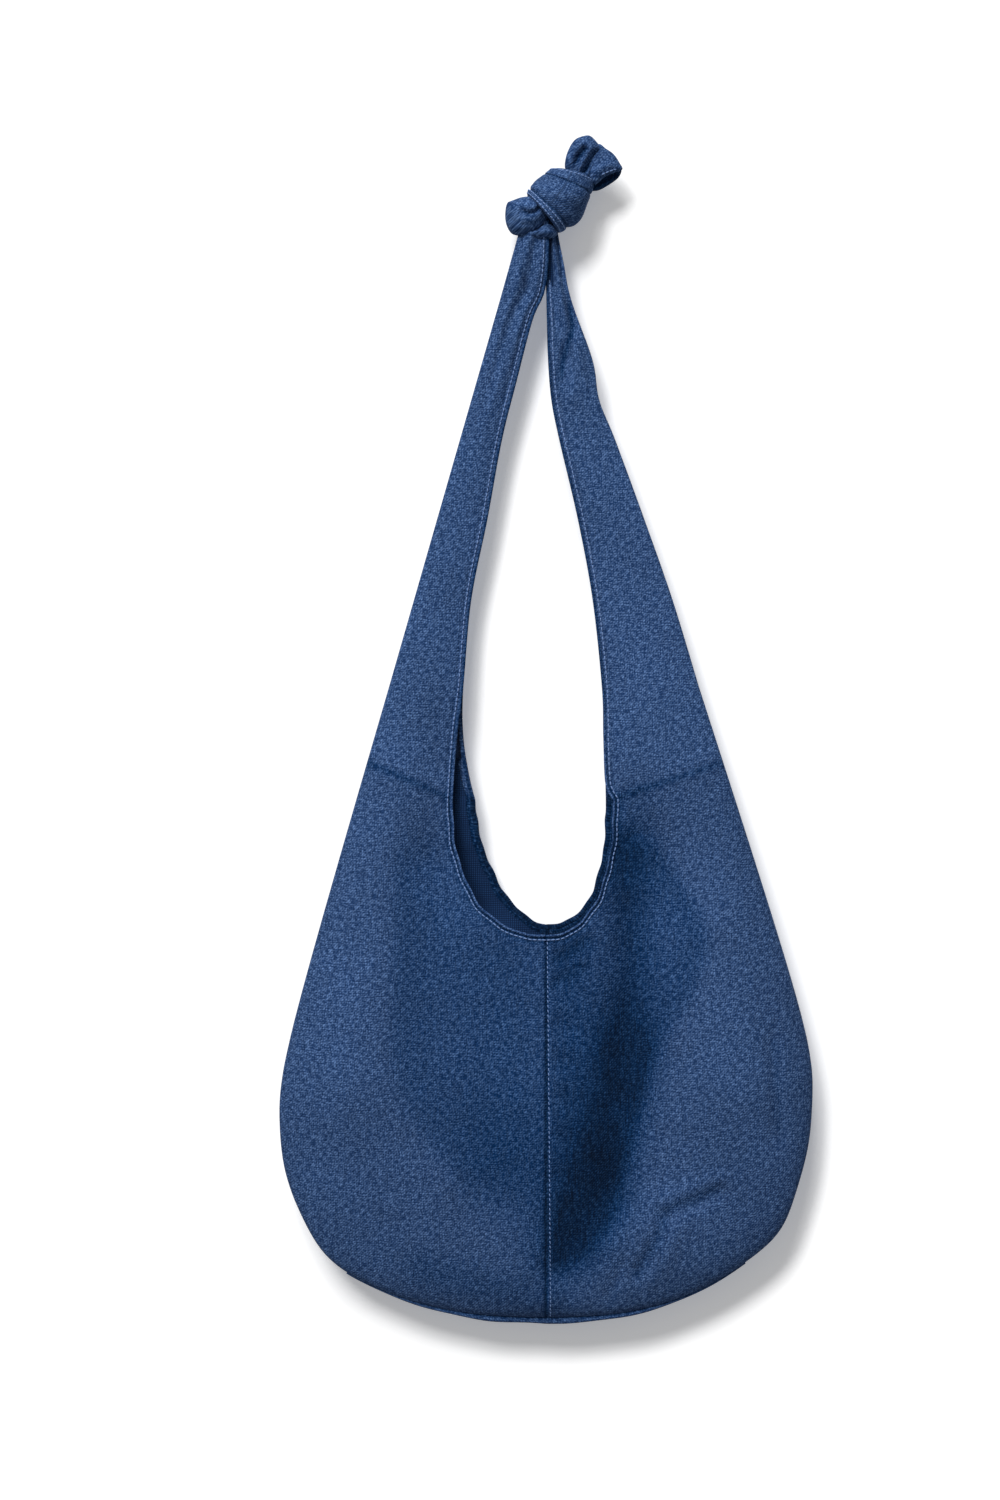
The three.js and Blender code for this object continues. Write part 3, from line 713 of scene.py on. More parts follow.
@dataclass(frozen=True)
class Fold:
    """A ridge along a line on one wall, or with a negative height a hollow.

    The line is X and drop. The fold reaches different distances to its left and right. Zones of painted shade
    are drawn the same way, with the change in wear and painted shade for height.
    """

    line: list[Pair]
    height: float
    left: float
    right: float

    def lift(self, places: Array) -> Array:
        """Works out how far the fold lifts the cloth.

        Args:
            places: X and drop of each point.

        Returns:
            The lift at each point, outwards.
        """
        nearest = np.full(places.shape[:-1], np.inf)
        leftness = np.zeros(places.shape[:-1])
        for start, end in zip(np.array(self.line), np.array(self.line[1:])):
            run, away = end - start, places - start
            share = np.clip(away @ run / (run @ run), 0.0, 1.0)
            away = away - share[..., None] * run
            distance = np.linalg.norm(away, axis=-1)
            turn = run[0] * away[..., 1] - run[1] * away[..., 0]
            turn = turn / np.maximum(distance, 1e-9) / np.linalg.norm(run)
            closer = distance < nearest
            leftness = np.where(closer, (1 + turn) / 2, leftness)
            nearest = np.where(closer, distance, nearest)
        return self.height * bell(nearest, mix(self.right, self.left, leftness))


RIGHT_STRAP_CREASE: list[Pair] = [(18.0, 13.0), (20.0, 32.0), (13.6, 52.0), (11.8, 66.0)]
LEFT_STRAP_CREASE: list[Pair] = [(-18.0, -14.0), (-12.0, 4.0)]
BACK_HOLLOW: list[Pair] = [(-30.0, 500.0), (-24.0, 640.0), (-6.0, 720.0)]
PUCKER_DROPS = (522.0, 549.0, 578.0, 604.0, 633.0, 662.0)

FOLDS: dict[Face, list[Fold]] = {
    Face.FRONT: [
        # The deep valley right of the seam, the seam's own ridge, and where the valley runs out below.
        Fold([(66.0, 432.0), (70.0, 504.0), (64.0, 579.0), (56.0, 665.0)], -16.0, 20.0, 44.0),
        Fold([(0.0, 470.0), (0.0, 760.0)], 3.0, 24.0, 13.0),
        Fold([(44.0, 690.0), (10.0, 735.0)], -4.0, 14.0, 20.0),
        # The shallow dip on the left, and the bulges beside both hollows.
        Fold([(-80.0, 430.0), (-80.0, 594.0), (-42.0, 670.0)], -6.0, 30.0, 38.0),
        Fold([(-140.0, 430.0), (-147.0, 594.0)], 4.0, 32.0, 34.0),
        Fold([(132.0, 444.0), (142.0, 594.0)], 4.0, 34.0, 34.0),
        # The crumpled creases above the lower right corner, and one at the right hip.
        Fold([(88.0, 684.0), (128.0, 667.0)], 2.4, 6.0, 5.0),
        Fold([(88.0, 693.0), (130.0, 675.0)], -2.6, 5.0, 6.0),
        Fold([(90.0, 697.0), (82.0, 716.0), (68.0, 738.0)], -3.4, 5.0, 4.5),
        Fold([(99.0, 702.0), (80.0, 742.0)], 1.8, 6.0, 7.0),
        Fold([(58.0, 728.0), (46.0, 757.0)], -2.0, 4.5, 4.0),
        Fold([(169.0, 562.0), (174.0, 634.0)], -1.8, 6.0, 5.0),
        # Creases in the straps just below the knot.
        Fold(RIGHT_STRAP_CREASE, -2.6, 4.0, 3.0),
        Fold([(27.0, 32.0), (23.0, 60.0), (19.0, 84.0)], 2.2, 4.5, 7.0),
        Fold(LEFT_STRAP_CREASE, -2.4, 3.0, 3.0),
        # Puckers at the lip and down the right side of the seam.
        Fold([(7.0, 503.0), (34.0, 488.0)], -2.4, 4.0, 4.0),
        Fold([(6.0, 520.0), (30.0, 508.0)], -1.8, 4.0, 4.0),
        Fold([(-6.0, 505.0), (-24.0, 494.0)], -1.0, 3.5, 3.5),
        *(Fold([(9.0, drop), (18.0, drop + 4.0)], -2.3, 6.0, 6.0) for drop in PUCKER_DROPS),
    ],
    Face.BACK: [
        Fold(BACK_HOLLOW, -6.0, 34.0, 26.0),
        Fold([(70.0, 460.0), (84.0, 600.0), (60.0, 690.0)], -5.0, 30.0, 36.0),
        Fold([(-96.0, 690.0), (-140.0, 660.0)], -1.8, 5.0, 4.5),
        Fold([(20.0, 690.0), (48.0, 716.0)], -1.6, 5.0, 4.5),
    ],
}

# Painted shade: zones darkened where the walls dip and turn away from the light, in the valleys of folds and
# creases, and along the lower edge as it turns under. Heights are the change in wear and painted shade.
PAINTED_SHADE_ZONES: dict[Face, list[Fold]] = {
    Face.FRONT: [
        Fold([(-104.0, 440.0), (-106.0, 573.0), (-96.0, 612.0), (-62.0, 654.0)], -0.26, 12.0, 46.0),
        Fold([(-60.0, 470.0), (-54.0, 590.0), (-30.0, 650.0)], -0.1, 30.0, 40.0),
        Fold([(-21.0, 504.0), (-14.0, 670.0)], -0.27, 40.0, 26.0),
        Fold([(20.0, 496.0), (20.0, 690.0)], -0.42, 20.0, 26.0),
        Fold([(55.0, 424.0), (66.0, 500.0), (56.0, 560.0)], -0.5, 19.0, 19.0),
        Fold([(62.0, 374.0), (58.0, 420.0)], -0.2, 16.0, 22.0),
        Fold([(-84.0, 306.0), (-92.0, 350.0)], -0.12, 30.0, 30.0),
        Fold([(-92.0, 734.0), (-34.0, 750.0), (6.0, 760.0)], -0.22, 16.0, 16.0),
        Fold([(62.0, 579.0), (42.0, 680.0), (22.0, 716.0)], -0.66, 24.0, 22.0),
        Fold([(80.0, 424.0), (108.0, 468.0), (114.0, 490.0), (103.0, 526.0), (73.0, 573.0), (59.0, 626.0),
              (42.0, 690.0), (13.0, 728.0)], -0.34, 30.0, 9.0),
        Fold([(89.0, 691.0), (126.0, 675.0)], -0.24, 3.0, 5.5),
        Fold([(88.0, 698.0), (82.0, 716.0), (68.0, 738.0)], -0.3, 4.0, 3.5),
        Fold([(170.0, 566.0), (173.0, 628.0)], -0.14, 5.0, 4.0),
        Fold([(8.0, 503.0), (30.0, 490.0)], -0.24, 4.0, 5.0),
        Fold(RIGHT_STRAP_CREASE, -0.78, 3.0, 2.0),
        Fold(LEFT_STRAP_CREASE, -0.2, 2.5, 2.5),
        Fold([(7.0, 520.0), (26.0, 509.0)], -0.16, 4.0, 5.0),
    ],
    Face.BACK: [
        Fold(BACK_HOLLOW, -0.22, 34.0, 26.0),
        Fold([(74.0, 470.0), (84.0, 600.0), (60.0, 690.0)], -0.2, 30.0, 36.0),
    ],
}


@dataclass
class HalfCut:
    """One folded half: its outline from the bottom seam over the hip to the knot, and how it hangs.

    Outlines are distances from the centre line and drops. Mouths, rims, roots, lips and bellies have a value
    for the front and one for the back. Section powers and folds have one for the body and one for the strap.
    """

    side: Side
    hip_drop: float
    corner_drop: float
    mouths: Pair
    rim_fullness: Pair
    roots: tuple[list[Pair], list[Pair]]
    strap_outer: list[Pair]
    strap_inner: list[Pair]
    # The body's outline, fuller at the lower corner, and the roots where the strap starts.
    hip_half_width: float = 200.0
    hip_rounding: float = 40.0
    bottom_drop: float = 772.0
    bottom_fullness: float = 2.4
    corner_bulge: float = 4.5
    corner_reach: float = 24.0
    corner_start: float = 90.0
    corner_way: Pair = (0.85, 0.53)
    root_outer_drop: float = 355.0
    root_inner_drop: float = 384.0
    top_drop: float = -50.0
    lip_drops: Pair = (484.0, 478.0)
    rim_ripple: float = 0.315
    rim_waves: Pair = (11.0, 6.0)
    slow_wave: float = 0.8
    rim_ease: float = 7.0
    # How far the walls stand off the middle: at the belly and at the rim, on the body and up the strap.
    bellies: Pair = (37.0, 41.0)
    rim_depths: Pair = (23.0, 20.0)
    back_flat: float = 28.0
    root_start: float = 0.35
    belly_end: float = 0.4
    section_powers: Pair = (2.0, 3.2)
    section_ease: float = 4.0
    strap_stops: tuple[float, ...] = (0.0, 0.1, 0.2, 0.35, 0.75, 0.9, 1.0)
    strap_bellies: tuple[float, ...] = (14.0, 10.5, 7.0, 4.6, 4.2, 5.0, 6.0)
    strap_rims: tuple[float, ...] = (7.0, 4.6, 3.0, 2.1, 2.0, 2.4, 3.0)
    # The grid: rows along the half and columns across it, closer at the seam, the outer fold and the hem.
    body_rows: int = 112
    strap_rows: int = 88
    middle_columns: int = 54
    dense_columns: int = 160
    dense_power: float = 1.7
    seam_marks: tuple[float, ...] = (0.0, 0.0015, 0.0035, 0.006, 0.009, 0.0125, 0.0165, 0.021)
    even_start: float = 0.027
    fold_marks: tuple[float, ...] = (0.0, 0.8, 1.8, 3.0, 4.6, 6.8, 9.6)
    hem_marks: tuple[float, ...] = (
        13.0, 10.0, 8.0, 6.6, 5.5, 4.7, 4.0, 3.5, 3.0, 2.5, 2.0, 1.5, 1.0, 0.5, 0.0,
    )
    most_marked: float = 0.4
    ease_reach: int = 14
    ease_rounds: int = 30
    # Folds, held back where the cloth is thin, and the small forms of seams, hem and gathers.
    fold_room: Pair = (14.0, 4.0)
    deepest_fold: Pair = (0.82, 0.6)
    strap_fold_rows: Pair = (8.0, 28.0)
    seam_dip: Ridge = Ridge(0.0, 1.5, -1.5)
    hem_ridges: tuple[Ridge, ...] = (Ridge(1.1, 1.0, 0.6), Ridge(2.6, 0.7, -0.7), Ridge(5.6, 1.1, -0.5))
    joint_ridge: Ridge = Ridge(-1.0, 1.6, 0.6)
    relief_room: float = 2.0
    least_across: float = -2.4
    crossing: float = 3.2
    crossing_drops: Pair = (16.0, -18.0)
    gather: float = 1.6
    gathers: float = 2.1
    gather_drop: float = 130.0
    gather_lean: float = 30.0
    gather_phase: float = 0.15
    gather_inset: float = 6.0
    gather_ease: float = 5.0

    def oval(self, half_width: float, middle: float, end: float, fullness: float) -> list[Pair]:
        """Gives points of a quarter oval from the centre line to its side.

        Args:
            half_width: how far across its side lies.
            middle: its drop at the centre line.
            end: its drop at the side.
            fullness: 2 for an ellipse, more for a fuller corner.

        Returns:
            The points.
        """
        turns = np.linspace(0.0, 0.5, 11) * math.pi
        across = half_width * np.maximum(np.sin(turns), 0) ** (2 / fullness)
        drops = mix(end, middle, np.maximum(np.cos(turns), 0) ** (2 / fullness))
        return list(zip(across, drops))

    def leaned(self, height: float) -> float:
        """Gives the part of a height above the hip that leans in, once the hip has rounded over."""
        return math.hypot(height, self.hip_rounding) - self.hip_rounding

    def fold_points(self, top: float) -> list[Pair]:
        """Gives points of the outer fold, from just above the hip up to a drop.

        Args:
            top: the drop of the last point.

        Returns:
            The points.
        """
        foot_across, foot_drop = self.strap_outer[0]
        slope = (self.hip_half_width - foot_across) / self.leaned(self.hip_drop - foot_drop)
        heights = np.linspace(0.1, 1.0, 10) * (self.hip_drop - top)
        return [(self.hip_half_width - slope * self.leaned(h), self.hip_drop - h) for h in heights]

    def outer_line(self, along: Array) -> Array:
        """Follows the bottom edge and the outer fold, fuller at the lower corner.

        Args:
            along: shares of the way from the centre seam to the strap's root.

        Returns:
            Distance from the centre line and drop at each share.
        """
        bottom = self.oval(self.hip_half_width, self.bottom_drop, self.hip_drop, self.bottom_fullness)
        line = Curve(bottom + self.fold_points(self.root_outer_drop)).at(along)
        bulge = self.corner_bulge * bell(line[:, 1] - self.corner_drop, self.corner_reach)
        bulge *= smooth(line[:, 0] / self.corner_start)
        return line + bulge[:, None] * np.array(self.corner_way)

    def rim_line(self, face: Face, along: Array) -> Array:
        """Follows the mouth's edge, which has the small waves of a sewn hem.

        Args:
            face: the wall.
            along: shares of the way from the centre seam to the strap's root.

        Returns:
            Distance from the centre line and drop at each share.
        """
        mouth, lip, fullness = (pair[face.index] for pair in (self.mouths, self.lip_drops, self.rim_fullness))
        line = Curve(self.oval(mouth, lip, self.root_inner_drop, fullness)).at(along)
        quick, slow = (waves * math.pi * along for waves in self.rim_waves)
        ripple = np.sin(quick) + self.slow_wave * np.sin(slow + face.index)
        ripple *= self.rim_ripple * smooth(along * self.rim_ease) * smooth((1 - along) * self.rim_ease)
        return line + ripple[:, None]

    def strap_lines(self, face: Face, up: Array) -> tuple[Array, Array]:
        """Follows both edges of the strap.

        Args:
            face: the wall.
            up: shares of the way from the strap's root to the knot.

        Returns:
            Distance from the centre line and drop at each share, for the outer fold and for the inner edge.
        """
        fold = np.array([(self.hip_half_width, self.hip_drop)] + self.fold_points(self.strap_outer[0][1]))
        outer = np.concatenate([fold[:-1], Curve(self.strap_outer).points])
        inner = Curve(self.roots[face.index] + self.strap_inner).points
        outer_drop = mix(self.root_outer_drop, self.top_drop, up)
        inner_drop = mix(self.root_inner_drop, self.top_drop, up)
        return (
            np.stack([across_at(outer, outer_drop), outer_drop], axis=-1),
            np.stack([across_at(inner, inner_drop), inner_drop], axis=-1),
        )

    def depth(self, face: Face, along: Array, up: Array, across: Array) -> Array:
        """Works out how far a wall stands off the middle of the bag.

        Args:
            face: the wall.
            along: rows of the body.
            up: rows of the strap, without the one that it shares with the body.
            across: share of the way from the outer fold to the inner edge.

        Returns:
            The depth, rows by columns.
        """
        rootward = smooth((along - self.root_start) / (1.0 - self.root_start))
        levels = []
        for body, strap in ((self.bellies, self.strap_bellies), (self.rim_depths, self.strap_rims)):
            lower = mix(body[face.index], strap[0], rootward)
            levels.append(np.concatenate([lower, np.interp(up, self.strap_stops, strap)])[:, None])
        swell = mix(*levels, smooth((across[None] - self.belly_end) / (1.0 - self.belly_end)))
        flatter = np.concatenate([np.zeros(len(along)), smooth(up * self.section_ease)])
        power = mix(*self.section_powers, flatter)[:, None]
        depth = swell * (1 - (1 - across[None]) ** power) ** (1 / power)
        if face is Face.BACK:
            depth = self.back_flat * np.tanh((depth / self.back_flat) ** 3) ** (1 / 3)
        return depth

    def wall(self, face: Face, folds: list[Fold]) -> tuple[Array, Array, Array]:
        """Lofts one wall of the half, from the outer fold to the inner edge.

        Args:
            face: the wall.
            folds: the folds that hang in it.

        Returns:
            The points, each point's distance from the inner edge, and its lift by folds.
        """
        even = np.linspace(self.even_start, 1.0, self.body_rows - len(self.seam_marks))
        along = np.concatenate([self.seam_marks, even])
        up = np.linspace(0.0, 1.0, self.strap_rows)[1:]
        across = np.linspace(0.0, 1.0, self.dense_columns) ** self.dense_power
        strap_outer, strap_inner = self.strap_lines(face, up)
        outer = np.concatenate([self.outer_line(along), strap_outer])[:, None]
        inner = np.concatenate([self.rim_line(face, along), strap_inner])[:, None]
        plan = mix(outer, inner, across[None, :, None])
        sign = self.side.value
        dense = np.stack([
            sign * np.maximum(plan[..., 0], self.least_across),
            face.value * self.depth(face, along, up, across),
            -plan[..., 1],
        ], axis=-1)
        grid, inset = self.spaced(dense)
        self.ease(grid)
        lift = self.fold_lift(grid, folds)
        grid[..., 1] += face.value * (lift + self.relief(grid, inset))
        strap = grid[self.body_rows:]
        start, end = self.crossing_drops
        strap[..., 1] += sign * self.crossing * smooth((start + strap[..., 2]) / (start - end))
        return grid, inset, lift

    def spaced(self, dense: Array) -> tuple[Array, Array]:
        """Spaces each row's points evenly, closer at the outer fold and at the hem.

        Args:
            dense: rows of closely placed points.

        Returns:
            The spaced grid, and each point's distance from the inner edge.
        """
        rows, insets = [], []
        shares = np.linspace(0.0, 1.0, self.middle_columns + 2)[1:-1]
        for line in dense:
            length = run_along(line)
            whole = length[-1]
            scale = min(1.0, self.most_marked * whole / self.hem_marks[0])
            near = np.array(self.fold_marks) * scale
            far = whole - np.array(self.hem_marks) * scale
            where = np.concatenate([near, mix(near[-1], far[0], shares), far])
            rows.append(read_at(where, length, line))
            insets.append(whole - where)
        return np.array(rows), np.array(insets)

    def ease(self, grid: Array) -> None:
        """Evens out the depth where the strap's root joins the body.

        Args:
            grid: the wall's points, which it changes.
        """
        low, high = self.body_rows - self.ease_reach, self.body_rows + self.ease_reach
        for _ in range(self.ease_rounds):
            level = (grid[low - 1:high - 1, :, 1] + grid[low + 1:high + 1, :, 1]) / 2
            grid[low:high, :, 1] = mix(grid[low:high, :, 1], level, 0.5)

    def fold_lift(self, grid: Array, folds: list[Fold]) -> Array:
        """Adds up the folds, and holds them back where the wall has no room for them.

        Args:
            grid: the wall's points.
            folds: the folds that hang in it.

        Returns:
            The lift at each point, outwards.
        """
        places = np.stack([grid[..., 0], -grid[..., 2]], axis=-1)
        lift = sum((fold.lift(places) for fold in folds), np.zeros(places.shape[:2]))
        offset = np.abs(grid[..., 1])
        first, last = self.strap_fold_rows
        strapward = smooth((np.arange(len(grid))[:, None] - self.body_rows - first) / (last - first))
        eased = lift * smooth(offset / mix(*self.fold_room, strapward))
        return np.maximum(eased, -offset * mix(*self.deepest_fold, strapward))

    def relief(self, grid: Array, inset: Array) -> Array:
        """Adds up the small forms: the centre seam's dip, the sewn hem, the strap's joint and its gathers.

        Args:
            grid: the wall's points.
            inset: each point's distance from the inner edge.

        Returns:
            The lift at each point, outwards.
        """
        rows = np.arange(len(grid))[:, None] - self.body_rows
        relief = self.seam_dip.over(np.abs(grid[..., 0])) * (rows < 0)
        relief += sum(ridge.over(inset) for ridge in self.hem_ridges) + self.joint_ridge.over(rows)
        relief *= smooth(np.abs(grid[..., 1]) / self.relief_room)
        width = np.maximum(inset[:, :1], 1.0)
        height = self.gather * smooth((self.gather_drop + grid[..., 2]) / self.gather_drop)
        height *= smooth(inset / self.gather_inset) * smooth((1 - inset / width) * self.gather_ease)
        wave = 2 * math.pi * (self.gathers * inset / width + self.gather_phase * self.side.value)
        return relief + height * np.sin(wave + grid[..., 2] / self.gather_lean)


@dataclass(frozen=True)
class Layer:
    """One layer of a wall: the rows and columns that it covers, how far behind the outer side it lies, and
    the painted shade that darkens cloth lying inside.
    """

    word: str
    rows: slice
    columns: slice
    inward: float = 0.0
    thickness: float = CANVAS
    cloth: Cloth = Cloth.CANVAS
    # Painted shade for a layer that lies inside, darkening it.
    shade: float = 0.0


@dataclass
class HangingHalf:
    """One half as it hangs: both walls as grids, with normals that run on over the outer fold."""

    cut: HalfCut
    grids: dict[Face, Array] = field(default_factory=dict)
    normals: dict[Face, Array] = field(default_factory=dict)
    insets: dict[Face, Array] = field(default_factory=dict)
    weaves: dict[Face, Array] = field(default_factory=dict)
    fades: dict[Face, Array] = field(default_factory=dict)
    # Cloth coordinates: the back's start far from the front's, so that the two walls' patterns differ.
    back_cloth: float = 1000.0
    most_stretch: float = 6.0
    # Along the hem: a lighter turned edge, partly wear and partly painted highlight, painted shade in the
    # groove inside it, a lighter line under the stitches and painted shade beyond them. Along the strap's
    # edge: painted shade where the cloth turns away, a lighter line under the stitches and painted shade
    # beyond them. And darker lines at the strap's joint and the centre seam.
    hem_wear: tuple[Ridge, ...] = (
        Ridge(0.9, 0.9, 0.4), Ridge(2.6, 0.8, -0.85), Ridge(4.1, 0.8, 0.2), Ridge(5.7, 1.1, -0.3),
    )
    edge_wear: tuple[Ridge, ...] = (Ridge(0.0, 2.2, -0.75), Ridge(4.0, 1.2, 0.1), Ridge(5.6, 1.2, -0.25))
    joint_wear: Ridge = Ridge(-1.0, 0.8, -0.38)
    seam_wear: Ridge = Ridge(0.0, 1.3, -0.6)
    edge_rows: Pair = (-6.0, 20.0)
    body_shade: float = -0.16
    rubbed_lift: float = 5.0
    rub: float = 0.01
    # On a strap narrower than this, stitches keep to a share of its width.
    narrow_width: float = 30.0
    narrow_inset: float = 0.16

    def hang(self) -> None:
        """Lofts both walls and works out their normals, cloth coordinates and wear."""
        lifts = {}
        for face in Face:
            self.grids[face], self.insets[face], lifts[face] = self.cut.wall(face, FOLDS[face])
        middle = (self.grids[Face.FRONT][:, 0, 1] + self.grids[Face.BACK][:, 0, 1]) / 2
        for grid in self.grids.values():
            grid[:, 0, 1] = middle
        normals = grid_normals(self.both_walls(self.grids, slice(None)))
        columns = self.grids[Face.FRONT].shape[1]
        if normals[:, :columns, 1].sum() > 0:
            normals = -normals
        self.normals[Face.FRONT] = normals[:, :columns][:, ::-1]
        self.normals[Face.BACK] = normals[:, columns - 1:]
        for face in Face:
            self.weaves[face] = self.cloth_coordinates(face)
            self.fades[face] = self.wear(face, lifts[face])

    @staticmethod
    def both_walls(store: dict[Face, Array], rows: slice) -> Array:
        """Lays both walls' values side by side, joined at the outer fold."""
        return np.concatenate([store[Face.FRONT][rows, ::-1], store[Face.BACK][rows, 1:]], axis=1)

    def cloth_coordinates(self, face: Face) -> Array:
        """Unrolls a wall from its middle outwards, warp up and weft across.

        Args:
            face: the wall.

        Returns:
            Two coordinates in millimetres for each point.
        """
        grid = self.grids[face]
        step = np.diff(grid, axis=1)
        flat = np.hypot(step[..., 0], step[..., 2])
        stretch = np.clip(np.linalg.norm(step, axis=2) / np.maximum(flat, 1e-6), 1.0, self.most_stretch)
        run = np.stack([step[..., 0] * stretch, step[..., 2] * stretch], axis=-1)
        total = np.concatenate([np.zeros((len(grid), 1, 2)), np.cumsum(run, axis=1)], axis=1)
        middle = grid.shape[1] // 2
        weave = total - total[:, middle:middle + 1] + grid[:, middle:middle + 1][..., [0, 2]]
        weave[..., 0] *= -face.value
        weave[..., 0] += self.back_cloth * face.index
        return weave

    def wear(self, face: Face, lift: Array) -> Array:
        """Works out where wear rubs the cloth pale and where painted shade darkens it: in the hem's groove,
        along the strap's edges and in the zones of painted shade.

        Args:
            face: the wall.
            lift: how far folds lift the cloth.

        Returns:
            Wear and painted shade, from -1 to 1, for each point.
        """
        grid, inset = self.grids[face], self.insets[face]
        rows = np.arange(len(inset))[:, None] - self.cut.body_rows
        body = rows < 0
        hem, edge = (sum(ridge.over(inset) for ridge in ridges) for ridges in (self.hem_wear, self.edge_wear))
        first, last = self.edge_rows
        fade = mix(hem, edge, smooth((rows - first) / (last - first)))
        fade = fade + np.where(body, self.body_shade, 0.0) + self.joint_wear.over(rows)
        fade = fade + np.clip(lift, 0.0, self.rubbed_lift) * self.rub
        places = np.stack([grid[..., 0], -grid[..., 2]], axis=-1)
        fade = fade + sum(zone.lift(places) for zone in PAINTED_SHADE_ZONES[face])
        fade = fade + self.seam_wear.over(np.abs(grid[..., 0])) * body
        return np.clip(fade, -1.0, 1.0)

    def patch(self, face: Face, layer: Layer) -> Skin:
        """Cuts a closed sheet out of a wall.

        Args:
            face: the wall.
            layer: what the sheet covers, and how deep it lies.

        Returns:
            The sheet.
        """
        part = (layer.rows, layer.columns)
        normals = self.normals[face][part]
        grid = self.grids[face][part] - normals * layer.inward
        fade = np.clip(self.fades[face][part] + layer.shade, -1.0, 1.0)
        return shell(grid, normals, layer.thickness, self.weaves[face][part], fade)

    def flat_cut(self, faces: Iterable[Face], rows: slice, columns: slice) -> tuple[Pair, float]:
        """Measures a cloth piece cut flat, by the smallest rectangle that each wall's part of it fits in.

        Args:
            faces: the walls that it covers.
            rows: the rows that it covers.
            columns: the columns that it covers on each wall.

        Returns:
            Its width and length in metres, and its area in square metres.
        """
        width, length, area = 0.0, 0.0, 0.0
        angles = np.linspace(0.0, math.pi, 90)
        turns = [np.array([[math.cos(a), -math.sin(a)], [math.sin(a), math.cos(a)]]) for a in angles]
        for face in faces:
            weave = self.weaves[face][rows, columns] * MM
            one, two = weave[1:, 1:] - weave[:-1, :-1], weave[1:, :-1] - weave[:-1, 1:]
            area += float(np.abs(one[..., 0] * two[..., 1] - one[..., 1] * two[..., 0]).sum() / 2)
            boxes = [np.ptp(weave.reshape(-1, 2) @ turn, axis=0) for turn in turns]
            wide, long = sorted(min(boxes, key=np.prod))
            width, length = width + float(wide), max(length, float(long))
        return (width, length), area

    def band(self, rows: slice, thickness: float) -> Skin:
        """Cuts a closed sheet that is folded over the outer edge, front and back in one.

        Args:
            rows: the rows that it covers.
            thickness: its own thickness.

        Returns:
            The folded sheet.
        """
        stores = (self.grids, self.normals, self.weaves, self.fades)
        grid, normals, weave, fade = (self.both_walls(store, rows) for store in stores)
        return shell(grid, normals, thickness, weave, fade)

    def line(self, face: Face, rows: slice, inset: float) -> tuple[Array, Array]:
        """Follows a wall at a fixed distance from its inner edge, or closer to it where the strap is narrow.

        Args:
            face: the wall.
            rows: the rows to follow.
            inset: the distance from the inner edge.

        Returns:
            The points and the normals there.
        """
        points, normals = [], []
        stores = (self.grids, self.normals, self.insets)
        for grid, normal, away in zip(*(store[face][rows] for store in stores)):
            here = min(inset, self.narrow_inset * away[0]) if away[0] < self.narrow_width else inset
            points.append(read_at(-here, -away, grid))
            normals.append(read_at(-here, -away, normal))
        return np.array(points), np.array(normals)


@dataclass(frozen=True)
class StitchRow:
    """A row of topstitches: separate short threads that dive into the cloth at both ends."""

    pitch: float = 3.6
    length: float = 3.0
    radius: float = 0.42
    slant: float = 0.0
    proud: float = 0.12
    around: int = 6
    stops: tuple[float, ...] = (-0.5, -0.44, -0.25, 0.0, 0.25, 0.44, 0.5)
    widths: tuple[float, ...] = (0.25, 0.72, 1.0, 1.04, 1.0, 0.72, 0.25)
    dives: tuple[float, ...] = (1.3, 0.55, 0.05, 0.0, 0.05, 0.55, 1.3)

    def thread(self) -> tuple[Array, list[Corners], Array]:
        """Makes one stitch about its own middle.

        Returns:
            Its points as along, beside and up, its faces, and its cloth coordinates.
        """
        turns = np.linspace(0.0, 2 * math.pi, self.around, endpoint=False)
        wide = self.radius * np.array(self.widths)
        rise = self.proud - self.radius * np.array(self.dives)
        points = np.array([
            (stop * self.length, w * math.cos(turn), r + w * math.sin(turn))
            for stop, w, r in zip(self.stops, wide, rise) for turn in turns
        ])
        number = np.arange(len(points)).reshape(len(self.stops), self.around)
        beside = np.roll(number, -1, axis=1)
        quads = np.stack([number[:-1], beside[:-1], beside[1:], number[1:]], axis=-1).reshape(-1, 4)
        faces = [tuple(face) for face in quads.tolist()]
        faces += [tuple(number[0, ::-1].tolist()), tuple(number[-1].tolist())]
        weave = np.stack([points[:, 0], np.tile(turns * self.radius, len(self.stops))], axis=-1)
        return points, faces, weave

    def skin(self, path: Array, normals: Array) -> Skin:
        """Lays the stitches along a path.

        Args:
            path: points on the cloth.
            normals: the cloth's normals there.

        Returns:
            All the threads as one skin.
        """
        run = run_along(path)
        count = max(2, int(run[-1] / self.pitch))
        where = (np.arange(count) + 0.5) * run[-1] / count
        middle, up = read_at(where, run, path), read_at(where, run, normals)
        behind, before = (read_at(where + way * self.pitch / 2, run, path) for way in (-1, 1))
        ahead = before - behind
        up /= np.linalg.norm(up, axis=1, keepdims=True)
        ahead /= np.linalg.norm(ahead, axis=1, keepdims=True)
        beside = np.cross(up, ahead)
        tilt = math.radians(self.slant)
        along = ahead * math.cos(tilt) + beside * math.sin(tilt)
        aside = beside * math.cos(tilt) - ahead * math.sin(tilt)
        local, faces, base = self.thread()
        points = middle[:, None] + sum(
            axis[:, None] * local[None, :, at, None] for at, axis in enumerate((along, aside, up))
        )
        every = [tuple(corner + n * len(local) for corner in face) for n in range(count) for face in faces]
        weave = base[None] + np.stack([where, np.zeros(count)], axis=-1)[:, None]
        return Skin(points.reshape(-1, 3), every, weave.reshape(-1, 2), np.zeros(count * len(local)))


